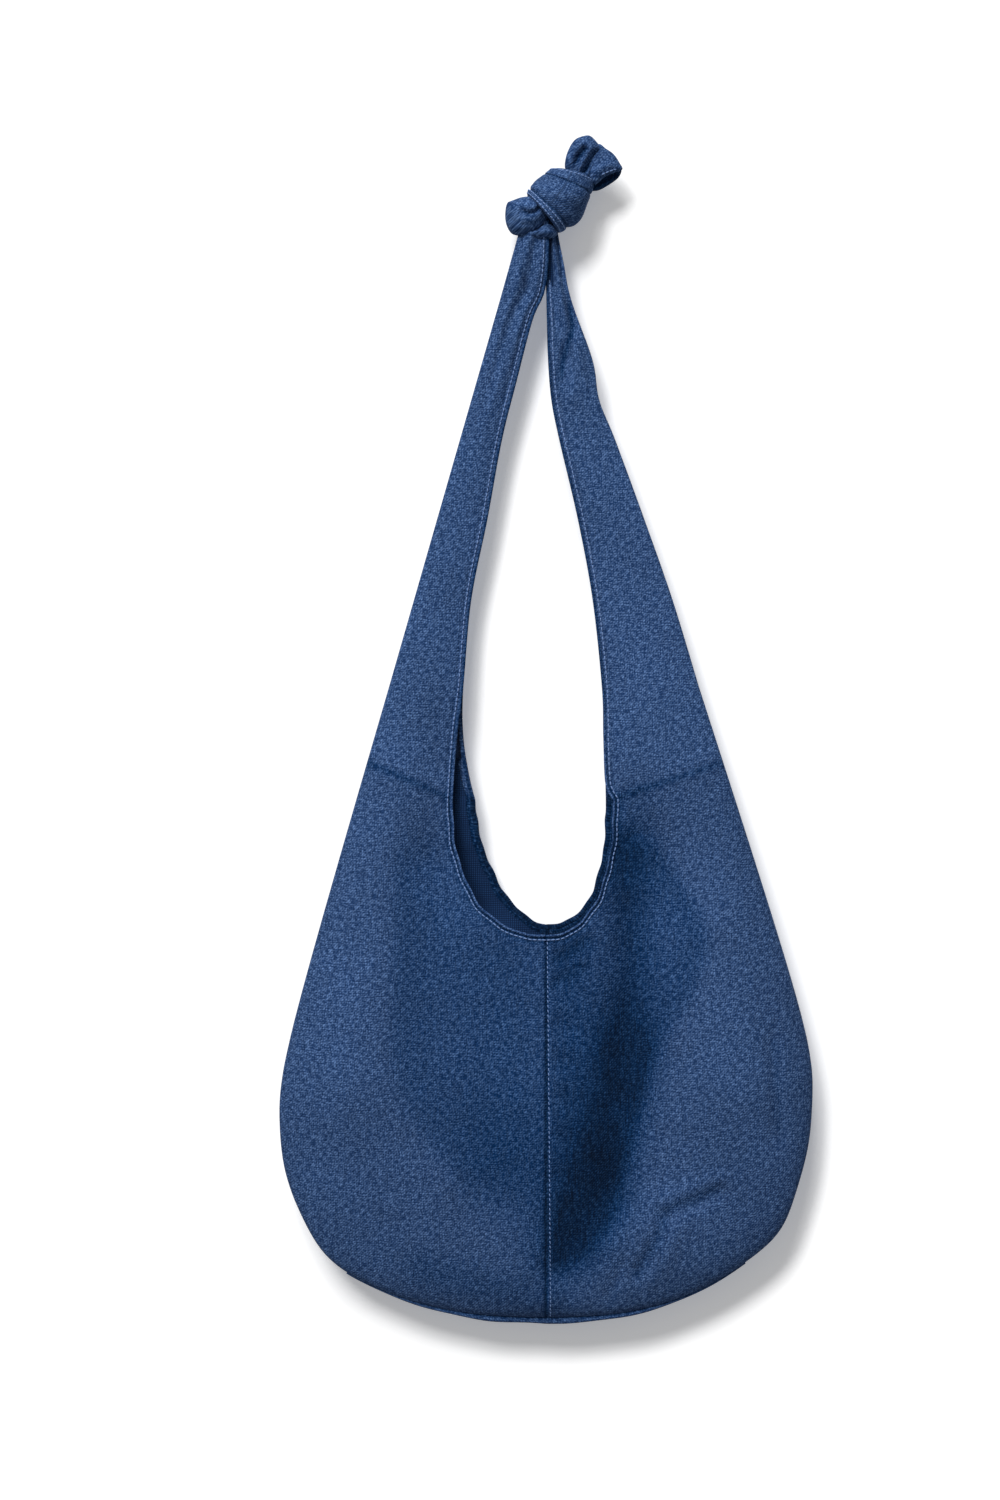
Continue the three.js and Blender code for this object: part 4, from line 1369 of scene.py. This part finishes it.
def loft(rings: Array, weave: Array, fade: Array, looped: bool) -> Skin:
    """Joins closed rings of points into one closed skin.

    Args:
        rings: rings by points round each ring.
        weave: cloth coordinates of each point.
        fade: wear and painted shade of each point.
        looped: true where the last ring joins the first, false where both ends are closed off.

    Returns:
        The skin.
    """
    count, around = rings.shape[:2]
    number = np.arange(count * around).reshape(count, around)
    ahead, start = (np.roll(number, -1, axis=0), number) if looped else (number[1:], number[:-1])
    beside, further = (np.roll(ring, -1, axis=1) for ring in (start, ahead))
    quads = np.stack([start, beside, further, ahead], axis=-1).reshape(-1, 4)
    faces = [tuple(face) for face in quads.tolist()]
    points = rings.reshape(-1, 3)
    if not looped:
        faces += [tuple(number[0, ::-1].tolist()), tuple(number[-1].tolist())]
    corners = np.array([face[:3] for face in faces])
    a, b, c = (points[corners[:, k]] - points.mean(axis=0) for k in range(3))
    if (a * np.cross(b, c)).sum() < 0:
        faces = [face[::-1] for face in faces]
    return Skin(points, faces, weave.reshape(-1, 2), fade.ravel())


@dataclass
class Pillow:
    """A lump of gathered cloth in the knot: a crowned closed form with folds in its front."""

    outline: list[Pair]
    front: float
    back: float
    folds: list[Fold]
    fullness: float = 2.3
    fade: float = 0.0
    around: int = 88
    rings: int = 44
    steps: int = 40
    # Painted shade in the hollows of the front's folds; the cloth on their ridges is a little lighter.
    fold_wear: float = 0.16
    shaded_lifts: Pair = (-4.0, 1.5)

    def edge(self) -> Array:
        """Gives the outline as a smooth closed ring.

        Returns:
            X and Z of evenly spaced points.
        """
        lead = 2 * self.steps
        whole = Curve(self.outline[-2:] + self.outline + self.outline[:2], self.steps).points
        ring = whole[lead:-lead - 1]
        length = run_along(ring)
        return read_at(np.linspace(0.0, length[-1], self.around, endpoint=False), length, ring)

    def skin(self) -> Skin:
        """Builds the crowned form.

        Returns:
            The closed skin.
        """
        edge = self.edge()
        middle = edge.mean(axis=0)
        turn = np.linspace(0.02, 0.98, self.rings) * math.pi
        spread = np.sin(turn) ** (2 / self.fullness)
        crown = np.sign(np.cos(turn)) * np.abs(np.cos(turn)) ** (2 / self.fullness)
        plan = middle + (edge - middle)[None] * spread[:, None, None]
        centre, half = (self.front + self.back) / 2, (self.back - self.front) / 2
        places = np.stack([plan[..., 0], -plan[..., 1]], axis=-1)
        lift = sum(fold.lift(places) for fold in self.folds)
        ahead = smooth((crown + 0.1) / 0.5)[:, None]
        depth = centre - half * crown[:, None] - lift * ahead
        rings = np.stack([plan[..., 0], depth, plan[..., 1]], axis=-1)
        run = half * (turn - turn[0])[:, None]
        weave = np.stack([plan[..., 0] + 0.6 * run, plan[..., 1] + 0.5 * run], axis=-1)
        # Painted shade in the fold hollows, a little lighter on the ridges.
        wear = np.clip(lift, *self.shaded_lifts) * self.fold_wear * ahead
        return loft(rings, weave, np.clip(self.fade + wear, -1.0, 1.0), looped=False)


@dataclass
class TiedKnot:
    """The tied straps: a wrapped turn round gathered cloth, a bight at lower left and two strap ends."""

    start: Pair = (-2.5, 55.5)
    leans: Pair = (36.0, 72.0)
    half_length: float = 19.0
    # Place along the spine and distance from it, once round the section of the turn.
    profile: tuple[Pair, ...] = (
        (-8.0, 9.2), (-14.0, 9.8), (-17.6, 12.0), (-19.6, 15.0), (-19.2, 18.2), (-17.4, 20.0), (-15.0, 20.2),
        (-13.6, 19.0), (-12.6, 19.8), (-10.0, 21.2), (-4.0, 21.8), (2.0, 21.4), (6.8, 20.5), (8.6, 19.8),
        (9.5, 18.6), (10.6, 19.3), (13.6, 18.4), (16.6, 16.8), (18.5, 14.6), (18.4, 12.2), (8.0, 9.2),
        (0.0, 9.0),
    )
    profile_points: int = 130
    turns: int = 120
    bore: float = 9.0
    bore_end: float = 12.0
    outside: float = 13.0
    uneven_start: float = 6.0
    slant: float = 1.6
    pulls: Pair = (0.7, 0.45)
    # Painted shade in the turn's two grooves and in its bore, and wear rubbed pale along its lower left edge.
    grooves: tuple[Ridge, ...] = (Ridge(-13.6, 0.8, -0.7), Ridge(9.5, 0.8, -0.7))
    rubbed_edge: Ridge = Ridge(-17.8, 1.4, 0.25)
    rubbed_radius: float = 18.0
    bore_shade: float = -0.5
    cloth_radius: float = 21.0
    stitch_marks: tuple[float, ...] = (-18.3, -15.4, 17.2)
    stitch_turn: float = 1.5
    core_length: float = 22.0
    core_radius: float = 8.6
    # Painted shade: the gathered cloth inside the turn is darkened for the shade it lies in.
    core_shade: float = -0.6
    flutes: int = 7
    flute_depth: float = 0.07
    fill: float = 0.6
    left_bend: tuple[Place, Place] = ((26.6, -4.0, 84.3), (29.1, -4.0, 97.0))
    right_bend: tuple[Place, Place] = ((34.4, 4.0, 84.4), (46.0, 4.0, 86.9))
    row: StitchRow = StitchRow(pitch=3.2, length=2.7)

    def about_spine(self, axial: Array, ahead: Array, aside: Array) -> Array:
        """Places points about the knot's bent spine.

        Args:
            axial: place along the spine.
            ahead: distance to the front.
            aside: distance to the spine's lower right.

        Returns:
            The points.
        """
        first, last = (math.radians(lean) for lean in self.leans)
        bend = (last - first) / (2 * self.half_length)
        lean = first + bend * (axial + self.half_length)
        across = self.start[0] + (np.sin(lean) - math.sin(first)) / bend + aside * np.sin(lean)
        height = self.start[1] - (np.cos(lean) - math.cos(first)) / bend - aside * np.cos(lean)
        return np.stack([across, -ahead, height], axis=-1)

    def on_turn(self, axial: Array, radial: Array, turn: Array) -> Array:
        """Places points on the turn, with its slanted edges and uneven pull.

        Args:
            axial: place along the spine.
            radial: distance from the spine.
            turn: angle round the spine, 0 at the front.

        Returns:
            The points.
        """
        outward = smooth((radial - self.bore) / self.uneven_start)
        shift = self.slant * np.sin(turn + 0.6) * outward
        wide, narrow = self.pulls
        uneven = wide * np.sin(2 * turn + 0.22 * axial) + narrow * np.sin(3 * turn - 0.3 * axial + 1.0)
        away = radial + uneven * outward
        return self.about_spine(axial + shift, away * np.cos(turn), away * np.sin(turn))

    def section(self) -> Curve:
        """Gives the turn's section as a smooth closed line."""
        return Curve([*self.profile, self.profile[0]], 8)

    def wrap(self) -> Skin:
        """Builds the turn that wraps round: a crowned barrel with rolled ends, grooves and a bore.

        Returns:
            The closed skin.
        """
        line = self.section()
        points = line.at(np.linspace(0.0, 1.0, self.profile_points, endpoint=False))
        turn = np.linspace(0.0, 2 * math.pi, self.turns, endpoint=False)
        axial, angle = np.meshgrid(points[:, 0], turn, indexing="ij")
        radial = np.repeat(points[:, 1:], self.turns, axis=1)
        rings = self.on_turn(axial, radial, angle)
        run = np.linspace(0.0, line.length[-1], len(points), endpoint=False)
        weave = np.stack(np.broadcast_arrays(run[:, None], angle * self.cloth_radius), axis=-1)
        # Painted shade in the grooves and the bore, and wear along the lower left edge.
        fade = sum(groove.over(axial) for groove in self.grooves) * (radial > self.outside)
        fade += self.rubbed_edge.over(axial) * (radial > self.rubbed_radius)
        fade += self.bore_shade * (radial < self.bore_end)
        return loft(rings, weave, fade, looped=True)

    def stitches(self) -> Skin:
        """Lays the strap's own topstitching along the turn's edges.

        Returns:
            The threads.
        """
        line = self.section().points
        outside = line[line[:, 1] > self.outside]
        turn = np.linspace(-self.stitch_turn, self.stitch_turn, 80)
        skins = []
        for mark in self.stitch_marks:
            radial = outside[np.argmin(np.abs(outside[:, 0] - mark)), 1]
            path = self.on_turn(np.full_like(turn, mark), np.full_like(turn, radial), turn)
            inner = self.on_turn(np.full_like(turn, mark), np.full_like(turn, radial - 1.0), turn)
            skins.append(self.row.skin(path, path - inner))
        return Skin.joined(skins)

    def core(self) -> Skin:
        """Builds the gathered straps inside the turn, as a fluted roll along its spine.

        Returns:
            The closed skin.
        """
        where = np.linspace(-self.core_length, self.core_length, 30)[:, None]
        turn = np.linspace(0.0, 2 * math.pi, 72, endpoint=False)[None]
        thick = self.core_radius * np.sqrt(np.clip(1 - (where / (self.core_length + 0.5)) ** 6, 0.05, 1.0))
        away = thick * (0.92 + self.flute_depth * np.cos(self.flutes * turn + 0.08 * where))
        axial = np.broadcast_to(where, away.shape)
        rings = self.about_spine(axial, away * np.cos(turn), away * np.sin(turn))
        weave = np.stack(np.broadcast_arrays(turn * self.core_radius, where), axis=-1)
        # Painted shade over the whole core.
        return loft(rings, weave, np.full(away.shape, self.core_shade), looped=False)

    def bight(self) -> Skin:
        """Builds the bight at lower left and the small band that comes out under it.

        Returns:
            Both lumps as one skin.
        """
        arc = [(-20.5, -59.5), (-18.0, -55.8), (-13.0, -54.0), (-7.5, -55.6), (-4.0, -60.5)]
        outer = [(-26.0, -50.0), (-18.5, -45.6), (-9.0, -46.5), (-3.0, -51.0)]
        lump = Pillow(
            [(-28.5, 64.0), (-30.6, 56.0), (-29.6, 47.0), (-25.0, 40.2), (-16.0, 39.4), (-7.0, 42.5),
             (-0.5, 49.0), (1.5, 56.5), (-2.5, 64.0), (-11.0, 68.0), (-21.0, 67.0)],
            -16.5, 12.0,
            [Fold(arc, -2.6, 1.5, 1.5), Fold(outer, -0.7, 1.6, 1.6),
             Fold([(-18.0, -61.0), (-9.0, -60.5)], 1.6, 4.0, 4.0)],
        )
        band = Pillow(
            [(-17.0, 38.6), (-9.0, 43.0), (0.0, 47.6), (6.0, 46.0), (8.6, 40.5), (4.0, 37.2), (-6.0, 36.4)],
            -12.0, 10.0, [Fold([(-7.0, -42.5), (0.5, -44.5), (6.0, -42.0)], -1.0, 1.0, 1.0)], rings=30,
        )
        return Skin.joined([lump.skin(), band.skin()])

    def left_end(self) -> Skin:
        """Builds the left strap end: a cupped leaf with a deep fold at its foot.

        Returns:
            The closed skin.
        """
        leaf = Pillow(
            [(14.5, 88.0), (14.6, 96.5), (17.8, 105.2), (22.0, 110.8), (27.5, 113.2), (32.6, 113.6),
             (37.0, 110.0), (40.0, 105.0), (38.6, 97.0), (34.0, 88.0), (30.0, 80.0), (20.0, 79.0)],
            -12.5, 4.0,
            [Fold([(21.5, -90.0), (24.0, -96.5), (28.5, -102.5)], -5.0, 2.2, 2.6),
             Fold([(29.0, -87.0), (33.5, -94.0), (37.5, -99.0)], -5.5, 2.0, 3.5),
             Fold([(25.0, -88.0), (29.0, -95.0)], 1.8, 2.0, 2.0)],
        )
        return leaf.skin()

    def right_end(self) -> Skin:
        """Builds the right strap end: an open fold whose stitched edge stands over a hollow, painted dark for
        the shade inside it.

        Returns:
            Both sides of the fold as one skin.
        """
        sheet = Pillow(
            [(27.0, 79.0), (31.0, 94.0), (38.5, 107.4), (45.0, 104.2), (51.0, 99.8), (55.4, 93.2),
             (57.2, 88.6), (51.0, 86.2), (44.0, 83.0), (36.0, 77.0)],
            -7.5, 4.0, [Fold([(36.0, -86.0), (47.0, -92.0)], 1.2, 4.0, 3.0)],
        )
        # Painted shade: the hollow's sheet is darkened for the shade inside the fold.
        hollow = Pillow(
            [(29.0, 80.0), (38.0, 84.0), (48.0, 88.0), (56.4, 89.2), (54.5, 83.4), (47.5, 78.0),
             (39.0, 73.6), (31.0, 74.0)],
            -1.5, 9.0, [Fold([(38.0, -79.0), (50.0, -84.0)], -2.5, 3.0, 3.0)], fade=-0.9, rings=30,
        )
        return Skin.joined([sheet.skin(), hollow.skin()])

    def end_stitches(self) -> Skin:
        """Lays the topstitching along the right end's lower edge."""
        path = np.array([(38.5, -5.6, 82.6), (44.0, -6.8, 85.3), (50.0, -6.6, 87.6), (56.0, -3.6, 89.6)])
        return self.row.skin(path, np.tile([0.0, -1.0, -0.2], (len(path), 1)))

    def build(self) -> None:
        """Makes the knot's pieces, sets the loop's pieces on their body, and bakes the tail ends' placement
        into their meshes.
        """
        bends = {"left_tail": self.left_bend, "right_tail": self.right_bend}
        parts = (
            ("knot_wrap_cloth", self.wrap(), Cloth.CANVAS, "strap_loop", "knot_wrap"),
            ("knot_core_cloth", self.core(), Cloth.CANVAS, "strap_loop", "knot_core"),
            ("knot_bight_cloth", self.bight(), Cloth.CANVAS, "strap_loop", "knot_bight"),
            ("knot_stitches", self.stitches(), Cloth.THREAD, "strap_loop", None),
            ("left_tail_cloth", self.left_end(), Cloth.CANVAS, "left_tail", "left_tail"),
            ("right_tail_cloth", self.right_end(), Cloth.CANVAS, "right_tail", "right_tail"),
            ("right_tail_stitches", self.end_stitches(), Cloth.THREAD, "right_tail", None),
        )
        for name, skin, cloth, body, node in parts:
            piece = skin.to_object(name, cloth)
            if body in bends:
                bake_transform(piece)
            else:
                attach(piece, body)
            if node:
                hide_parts(node)


@dataclass(frozen=True)
class MouthTurn:
    """Where one half of the front wall takes up the mouth's turn: over a reach inwards from its fold."""

    foot: Place
    inward: Place
    reach: Pair

    def ends(self) -> list[Place]:
        """Gives the places, in metres, where the turn starts and where it is whole."""
        return [tuple((f + i * far) * MM for f, i in zip(self.foot, self.inward)) for far in self.reach]


MOUTH_TURNS: dict[Side, MouthTurn] = {
    Side.LEFT: MouthTurn((-118.0, 0.0, -300.0), (0.97, 0.0, -0.25), (66.0, 160.0)),
    Side.RIGHT: MouthTurn((115.0, 0.0, -300.0), (-0.961, 0.0, -0.274), (86.0, 162.0)),
}


@dataclass
class BagBody:
    """The two hanging halves cut into panels, straps, hems and linings, with the seams that join them."""

    halves: dict[Side, HangingHalf]
    hem_width: float = 9.0
    hem_inward: float = CANVAS + 0.1
    hem_thickness: float = 0.8
    # Painted shade: the hem's turned-in cloth is darkened as it lies inside the mouth.
    inside_painted_shade: float = -0.5
    lining_inset: float = 6.0
    lining_inward: float = CANVAS + 1.2
    lining_rise: int = 6
    facing_inward: float = CANVAS + 0.3
    facing_least: float = 0.35
    facing_margin: int = 8
    allowance_rows: int = 10
    allowance_margin: int = 10
    allowance_thickness: float = 0.9
    stitch_inset: float = 4.0
    rim_row: StitchRow = StitchRow()
    seam_row: StitchRow = StitchRow(slant=14.0, length=2.4, radius=0.34)
    seam_row_at: int = 3
    seam_row_ends: tuple[int, int] = (3, -9)
    bend_drops: Pair = (300.0, 350.0)
    # The rolled bottom seam: its reach to each side, its section, its crease, and the painted shade round the
    # section.
    roll_reach: float = 150.0
    roll_height: float = 5.5
    roll_end_height: float = 1.6
    roll_half_width: float = 2.2
    roll_sink: float = 0.6
    roll_ripple: float = 0.08
    roll_wave: float = 9.0
    roll_points: int = 14
    roll_crease: Ridge = Ridge(-0.1, 0.3, -0.22)
    roll_painted_shades: Pair = (-0.35, 0.25)
    roll_radius: float = 2.4

    def strap_bend(self, piece: bpy.types.Object) -> None:
        """Bakes a strap piece's placement into its mesh; it is not set on any body."""
        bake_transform(piece)

    def place(self, piece: bpy.types.Object, face: Face, side: Side) -> None:
        """Sets a back piece on the bag's body, and bakes a front piece's placement into its mesh.

        Args:
            piece: the piece.
            face: the wall that it belongs to.
            side: the half that it belongs to.
        """
        if face is Face.FRONT:
            start, end = MOUTH_TURNS[side].ends()
            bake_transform(piece)
        else:
            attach(piece, "bag")

    def build(self) -> None:
        """Makes every piece of the body and straps."""
        for side, half in self.halves.items():
            half.hang()
            for face in Face:
                self.quarter(side, face, half)
            self.strap(side, half)
        for face in Face:
            self.centre_seam(face)
        self.bottom()

    def layers(self, half: HangingHalf) -> tuple[Layer, ...]:
        """Works out the panel, hem and lining of one quarter.

        Args:
            half: the hanging half.

        Returns:
            The three layers, from the outside in.
        """
        cut = half.cut
        columns = half.grids[Face.FRONT].shape[1]
        hem_start = columns - sum(mark <= self.hem_width for mark in cut.hem_marks)
        lining_end = columns - sum(mark < self.lining_inset for mark in cut.hem_marks)
        rows, lined = slice(0, cut.body_rows), slice(0, cut.body_rows + self.lining_rise)
        return (
            Layer("panel", rows, slice(0, columns)),
            Layer("hem", rows, slice(hem_start, columns - 1), self.hem_inward, self.hem_thickness,
                  shade=self.inside_painted_shade),
            Layer("lining", lined, slice(len(cut.fold_marks), lining_end), self.lining_inward, LINING,
                  Cloth.LINING),
        )

    def quarter(self, side: Side, face: Face, half: HangingHalf) -> None:
        """Makes the panel, hem, lining and rim stitches of one quarter.

        Args:
            side: the half that it belongs to.
            face: the wall that it belongs to.
            half: the hanging half.
        """
        label = f"{face.label}_{side.label}"
        layers = self.layers(half)
        for layer in layers:
            piece = half.patch(face, layer).to_object(f"{label}_{layer.word}_cloth", layer.cloth)
            self.place(piece, face, side)
            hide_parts(f"{label}_{layer.word}")
        path, normals = half.line(face, slice(0, half.cut.body_rows), self.stitch_inset)
        stitches = self.rim_row.skin(path, normals).to_object(f"{label}_rim_stitches", Cloth.THREAD)
        self.place(stitches, face, side)
        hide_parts(f"{face.label}_rim_topstitch")
        outside, _, inside = layers
        flat, area = half.flat_cut([face], outside.rows, outside.columns)
        flat, area = half.flat_cut([face], inside.rows, inside.columns)

    def strap(self, side: Side, half: HangingHalf) -> None:
        """Makes one folded strap with its facing and stitches.

        Args:
            side: the half that it belongs to.
            half: the hanging half.
        """
        label = f"{side.label}_strap"
        rows = slice(half.cut.body_rows - 1, None)
        strap = half.band(rows, CANVAS).to_object(f"{label}_cloth", Cloth.CANVAS)
        faced = slice(half.cut.body_rows + self.lining_rise - 1, None)
        facing = self.facing(half, faced).to_object(f"{label}_facing_cloth", Cloth.LINING)
        sewn = [self.rim_row.skin(*half.line(face, rows, self.stitch_inset)) for face in Face]
        stitches = Skin.joined(sewn).to_object(f"{label}_stitches", Cloth.THREAD)
        nodes = {
            strap: (label, f"{label}_root"), facing: (f"{label}_facing",), stitches: (f"{label}_topstitch",),
        }
        for piece, names in nodes.items():
            self.strap_bend(piece)
            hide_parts(*names)
        flat, area = half.flat_cut(Face, rows, slice(None))
        flat, area = half.flat_cut([Face.FRONT], faced, self.inner_span(half, self.facing_margin))

    def inner_span(self, half: HangingHalf, margin: int) -> slice:
        """Gives the columns from behind the outer fold up to a margin at the inner edge."""
        return slice(len(half.cut.fold_marks), half.grids[Face.FRONT].shape[1] - margin)

    def facing(self, half: HangingHalf, rows: slice) -> Skin:
        """Makes the facing that lies folded inside a strap.

        Args:
            half: the hanging half.
            rows: the strap's rows.

        Returns:
            The facing as one closed skin.
        """
        part = (rows, self.inner_span(half, self.facing_margin))
        sides, weaves = [], []
        for face in Face:
            grid = half.grids[face][part].copy()
            depth = np.maximum(np.abs(grid[..., 1]) - self.facing_inward, self.facing_least)
            grid[..., 1] = face.value * depth
            sides.append(grid[:, ::-face.value])
            weaves.append(half.weaves[face][part][:, ::-face.value])
        rings = np.concatenate(sides, axis=1)
        return loft(rings, np.concatenate(weaves, axis=1), np.zeros(rings.shape[:2]), looped=False)

    def centre_seam(self, face: Face) -> None:
        """Makes the allowance behind a centre seam and the stitches beside it.

        Args:
            face: the wall.
        """
        half = self.halves[Side.RIGHT]
        label = f"centre_{face.label}"
        span = self.inner_span(half, self.allowance_margin)
        rows = slice(0, self.allowance_rows)
        layer = Layer("allowance", rows, span, self.hem_inward, self.allowance_thickness)
        allowance = half.patch(face, layer).to_object(f"{label}_{layer.word}_cloth", layer.cloth)
        row = (self.seam_row_at, slice(*self.seam_row_ends))
        stitches = self.seam_row.skin(half.grids[face][row], half.normals[face][row])
        stitches = stitches.to_object(f"{label}_stitches", Cloth.THREAD)
        body = "front_wall" if face is Face.FRONT else "bag"
        for piece, node in ((allowance, f"{label}_{layer.word}"), (stitches, f"{label}_topstitch")):
            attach(piece, body)
            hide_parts(node)
        flat, area = half.flat_cut([face], layer.rows, layer.columns)

    def bottom(self) -> None:
        """Makes the rolled seam under the body, creased along its middle and thinner at its ends."""
        edges = {}
        for side, half in self.halves.items():
            edge = half.grids[Face.FRONT][:, 0]
            below = edge[:, 2] < -half.cut.hip_drop
            edges[side] = edge[below & (np.abs(edge[:, 0]) <= self.roll_reach)]
        path = Curve(np.concatenate([edges[Side.LEFT][::-1], edges[Side.RIGHT][1:]]), 3).points
        ahead = np.gradient(path, axis=0)
        ahead /= np.linalg.norm(ahead, axis=1, keepdims=True)
        out = np.stack([ahead[:, 2], np.zeros(len(path)), -ahead[:, 0]], axis=-1)
        share = np.abs(path[:, :1]) / self.roll_reach
        height = mix(self.roll_height, self.roll_end_height, smooth(share)) / 2
        height = height * (1 + self.roll_ripple * np.sin(path[:, :1] / self.roll_wave))
        turn = np.linspace(0.0, 2 * math.pi, self.roll_points, endpoint=False)
        wide = np.minimum(self.roll_half_width, height * 1.3)
        pinch = 1 + self.roll_crease.over(np.cos(turn))
        rings = path[:, None] + out[:, None] * (height * (1 + np.cos(turn)) - self.roll_sink)[..., None]
        rings[..., 1] += wide * np.sin(turn) * pinch
        run = run_along(path)[:, None]
        weave = np.stack(np.broadcast_arrays(run, turn[None] * self.roll_radius), axis=-1)
        # Painted shade: darker all round, darkest on top where the roll tucks under the body, lightest at its
        # underside.
        shade, change = self.roll_painted_shades
        fade = np.broadcast_to(shade + change * np.cos(turn), rings.shape[:2])
        piece = loft(rings, weave, fade, looped=False).to_object("bottom_seam_cloth", Cloth.CANVAS)
        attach(piece, "bag")
        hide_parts("bottom_seam")


@dataclass(frozen=True)
class SoftLamp:
    """A far lamp that shines along a direction, as wide in degrees as it looks from the part."""

    name: str
    direction: Place
    strength: float
    width: float

    def build(self) -> None:
        """Adds the lamp."""
        lamp = bpy.data.lights.new(self.name, "SUN")
        lamp.energy = self.strength
        lamp.angle = math.radians(self.width)
        holder = bpy.data.objects.new(self.name, lamp)
        holder.rotation_mode = "QUATERNION"
        holder.rotation_quaternion = Vector(self.direction).to_track_quat("-Z", "Y")
        bpy.context.scene.collection.objects.link(holder)


@dataclass
class Studio:
    """A pale wall that the bag lies against, a pale floor, two soft lamps, a fill behind, and the camera.

    Its sizes are in metres.
    """

    wall_depths: Pair = (0.0296, 0.0225)
    wall_bow: Pair = (-0.52, -0.26)
    wall_top: float = 2.0
    wall_half_width: float = 2.0
    floor_height: float = -0.95
    floor_reach: float = 6.0
    ambient: float = 0.27
    view_distance: float = 3.2
    view_middle: Pair = (-0.0345, -0.3465)
    lens: float = 102.4
    lamps: tuple[SoftLamp, ...] = (
        SoftLamp("high_lamp", (0.26, 1.0, -1.17), 1.55, 18.0),
        SoftLamp("left_lamp", (0.5, 1.0, -0.86), 1.85, 16.0),
        SoftLamp("back_fill", (-0.35, -1.0, -0.5), 1.9, 30.0),
    )
    wall_paint: RolledPaint = RolledPaint("painted_plaster_wall_rolled", 0.2)
    floor_paint: RolledPaint = RolledPaint("painted_floor_rolled", 0.06)

    def build(self) -> None:
        """Makes the stage, the light and the camera."""
        self.sky()
        for lamp in self.lamps:
            lamp.build()
        self.stage()
        self.camera()

    def sky(self) -> None:
        """Lights the part evenly and shows white behind it."""
        world = bpy.data.worlds.new("white_studio")
        bpy.context.scene.world = world
        world.use_nodes = True
        tree = world.node_tree
        tree.nodes.clear()
        strength = add_node(
            tree, "ShaderNodeMapRange", {}, {"Value": seen_rays(tree), "To Min": self.ambient, "To Max": 1.0},
        ).outputs[0]
        light = add_node(
            tree, "ShaderNodeBackground", {}, {"Color": linear("FFFFFF"), "Strength": strength},
        ).outputs[0]
        add_node(tree, "ShaderNodeOutputWorld", {}, {"Surface": light})

    def stage(self) -> None:
        """Adds the floor, and the wall, which bows forward at the straps.

        The wall goes with the body, so that a swung bag never passes through it.
        """
        low, reach = self.floor_height, self.floor_reach
        shares = np.linspace(0.0, 1.0, 25)
        bow = zip(mix(*self.wall_depths, smooth(shares)), mix(*self.wall_bow, shares))
        profile = [(self.wall_depths[0], low), *bow, (self.wall_depths[1], self.wall_top)]
        wall = self.leaf("wall", profile, self.wall_half_width, self.wall_paint)
        floor = self.leaf("floor", [(-reach, low), (reach, low)], reach, self.floor_paint)
        bag = frame["bodies"]["bag"]
        wall.parent = bag
        wall.matrix_parent_inverse = bag.matrix_world.inverted()

    def leaf(self, name: str, profile: list[Pair], half_width: float, paint: RolledPaint) -> bpy.types.Object:
        """Adds one leaf of the stage that only the camera sees.

        Args:
            name: the leaf's name.
            profile: depth and height of its edge.
            half_width: half its width.
            paint: its finish.

        Returns:
            The leaf.
        """
        mesh = bpy.data.meshes.new(name)
        corners = [(side * half_width, depth, height) for depth, height in profile for side in (-1, 1)]
        strips = [(2 * at, 2 * at + 1, 2 * at + 3, 2 * at + 2) for at in range(len(profile) - 1)]
        mesh.from_pydata(corners, [], strips)
        mesh.shade_smooth()
        mesh.materials.append(paint.material())
        leaf = bpy.data.objects.new(name, mesh)
        for ray in ("diffuse", "glossy", "transmission", "shadow", "volume_scatter"):
            setattr(leaf, f"visible_{ray}", False)
        bpy.context.scene.collection.objects.link(leaf)
        return leaf

    def camera(self) -> None:
        """Adds the camera, level and square to the wall."""
        camera = bpy.data.cameras.new("front_camera")
        camera.lens = self.lens
        holder = bpy.data.objects.new("front_camera", camera)
        across, height = self.view_middle
        holder.location = (across, -self.view_distance, height)
        holder.rotation_euler = (math.pi / 2, 0.0, 0.0)
        bpy.context.scene.collection.objects.link(holder)
        bpy.context.scene.camera = holder


LEFT_CUT = HalfCut(
    Side.LEFT, hip_drop=617.0, corner_drop=728.0, mouths=(70.0, 53.0), rim_fullness=(2.3, 1.7),
    roots=(
        [(70.0, 384.0), (68.5, 360.0), (66.0, 330.0)],
        [(53.0, 384.0), (57.5, 366.0), (62.0, 336.0)],
    ),
    strap_outer=[(118.0, 300.0), (75.0, 150.0), (32.0, 0.0), (18.0, -50.0)],
    strap_inner=[
        (62.0, 300.0), (56.0, 234.0), (44.0, 174.0), (33.0, 114.0), (22.0, 70.0), (10.0, 24.0), (2.0, 6.0),
        (-0.8, -8.0), (-2.0, -24.0), (-2.4, -50.0),
    ],
)
RIGHT_CUT = HalfCut(
    Side.RIGHT, hip_drop=598.0, corner_drop=706.0, mouths=(50.0, 45.0), rim_fullness=(2.3, 2.5),
    roots=(
        [(50.0, 384.0), (44.5, 373.0), (43.0, 345.0)],
        [(45.0, 384.0), (44.5, 366.0), (43.0, 336.0)],
    ),
    strap_outer=[
        (115.0, 300.0), (95.0, 234.0), (74.0, 174.0), (52.0, 114.0), (40.0, 84.0), (35.0, 54.0), (19.0, 9.0),
        (13.0, -21.0), (7.0, -50.0),
    ],
    strap_inner=[
        (42.0, 300.0), (35.0, 234.0), (24.0, 174.0), (10.0, 114.0), (4.0, 84.0), (1.5, 54.0), (0.6, 24.0),
        (0.2, 6.0), (-0.6, -24.0), (-1.0, -50.0),
    ],
)


def main() -> None:
    """Builds the bag piece by piece, then the studio."""
    logging.basicConfig(level=logging.INFO, format="%(name)s %(message)s")
    bpy.context.scene.view_settings.view_transform = "Standard"
    BagBody({cut.side: HangingHalf(cut) for cut in (LEFT_CUT, RIGHT_CUT)}).build()
    TiedKnot().build()
    Studio().build()


if __name__ == "__main__":
    main()
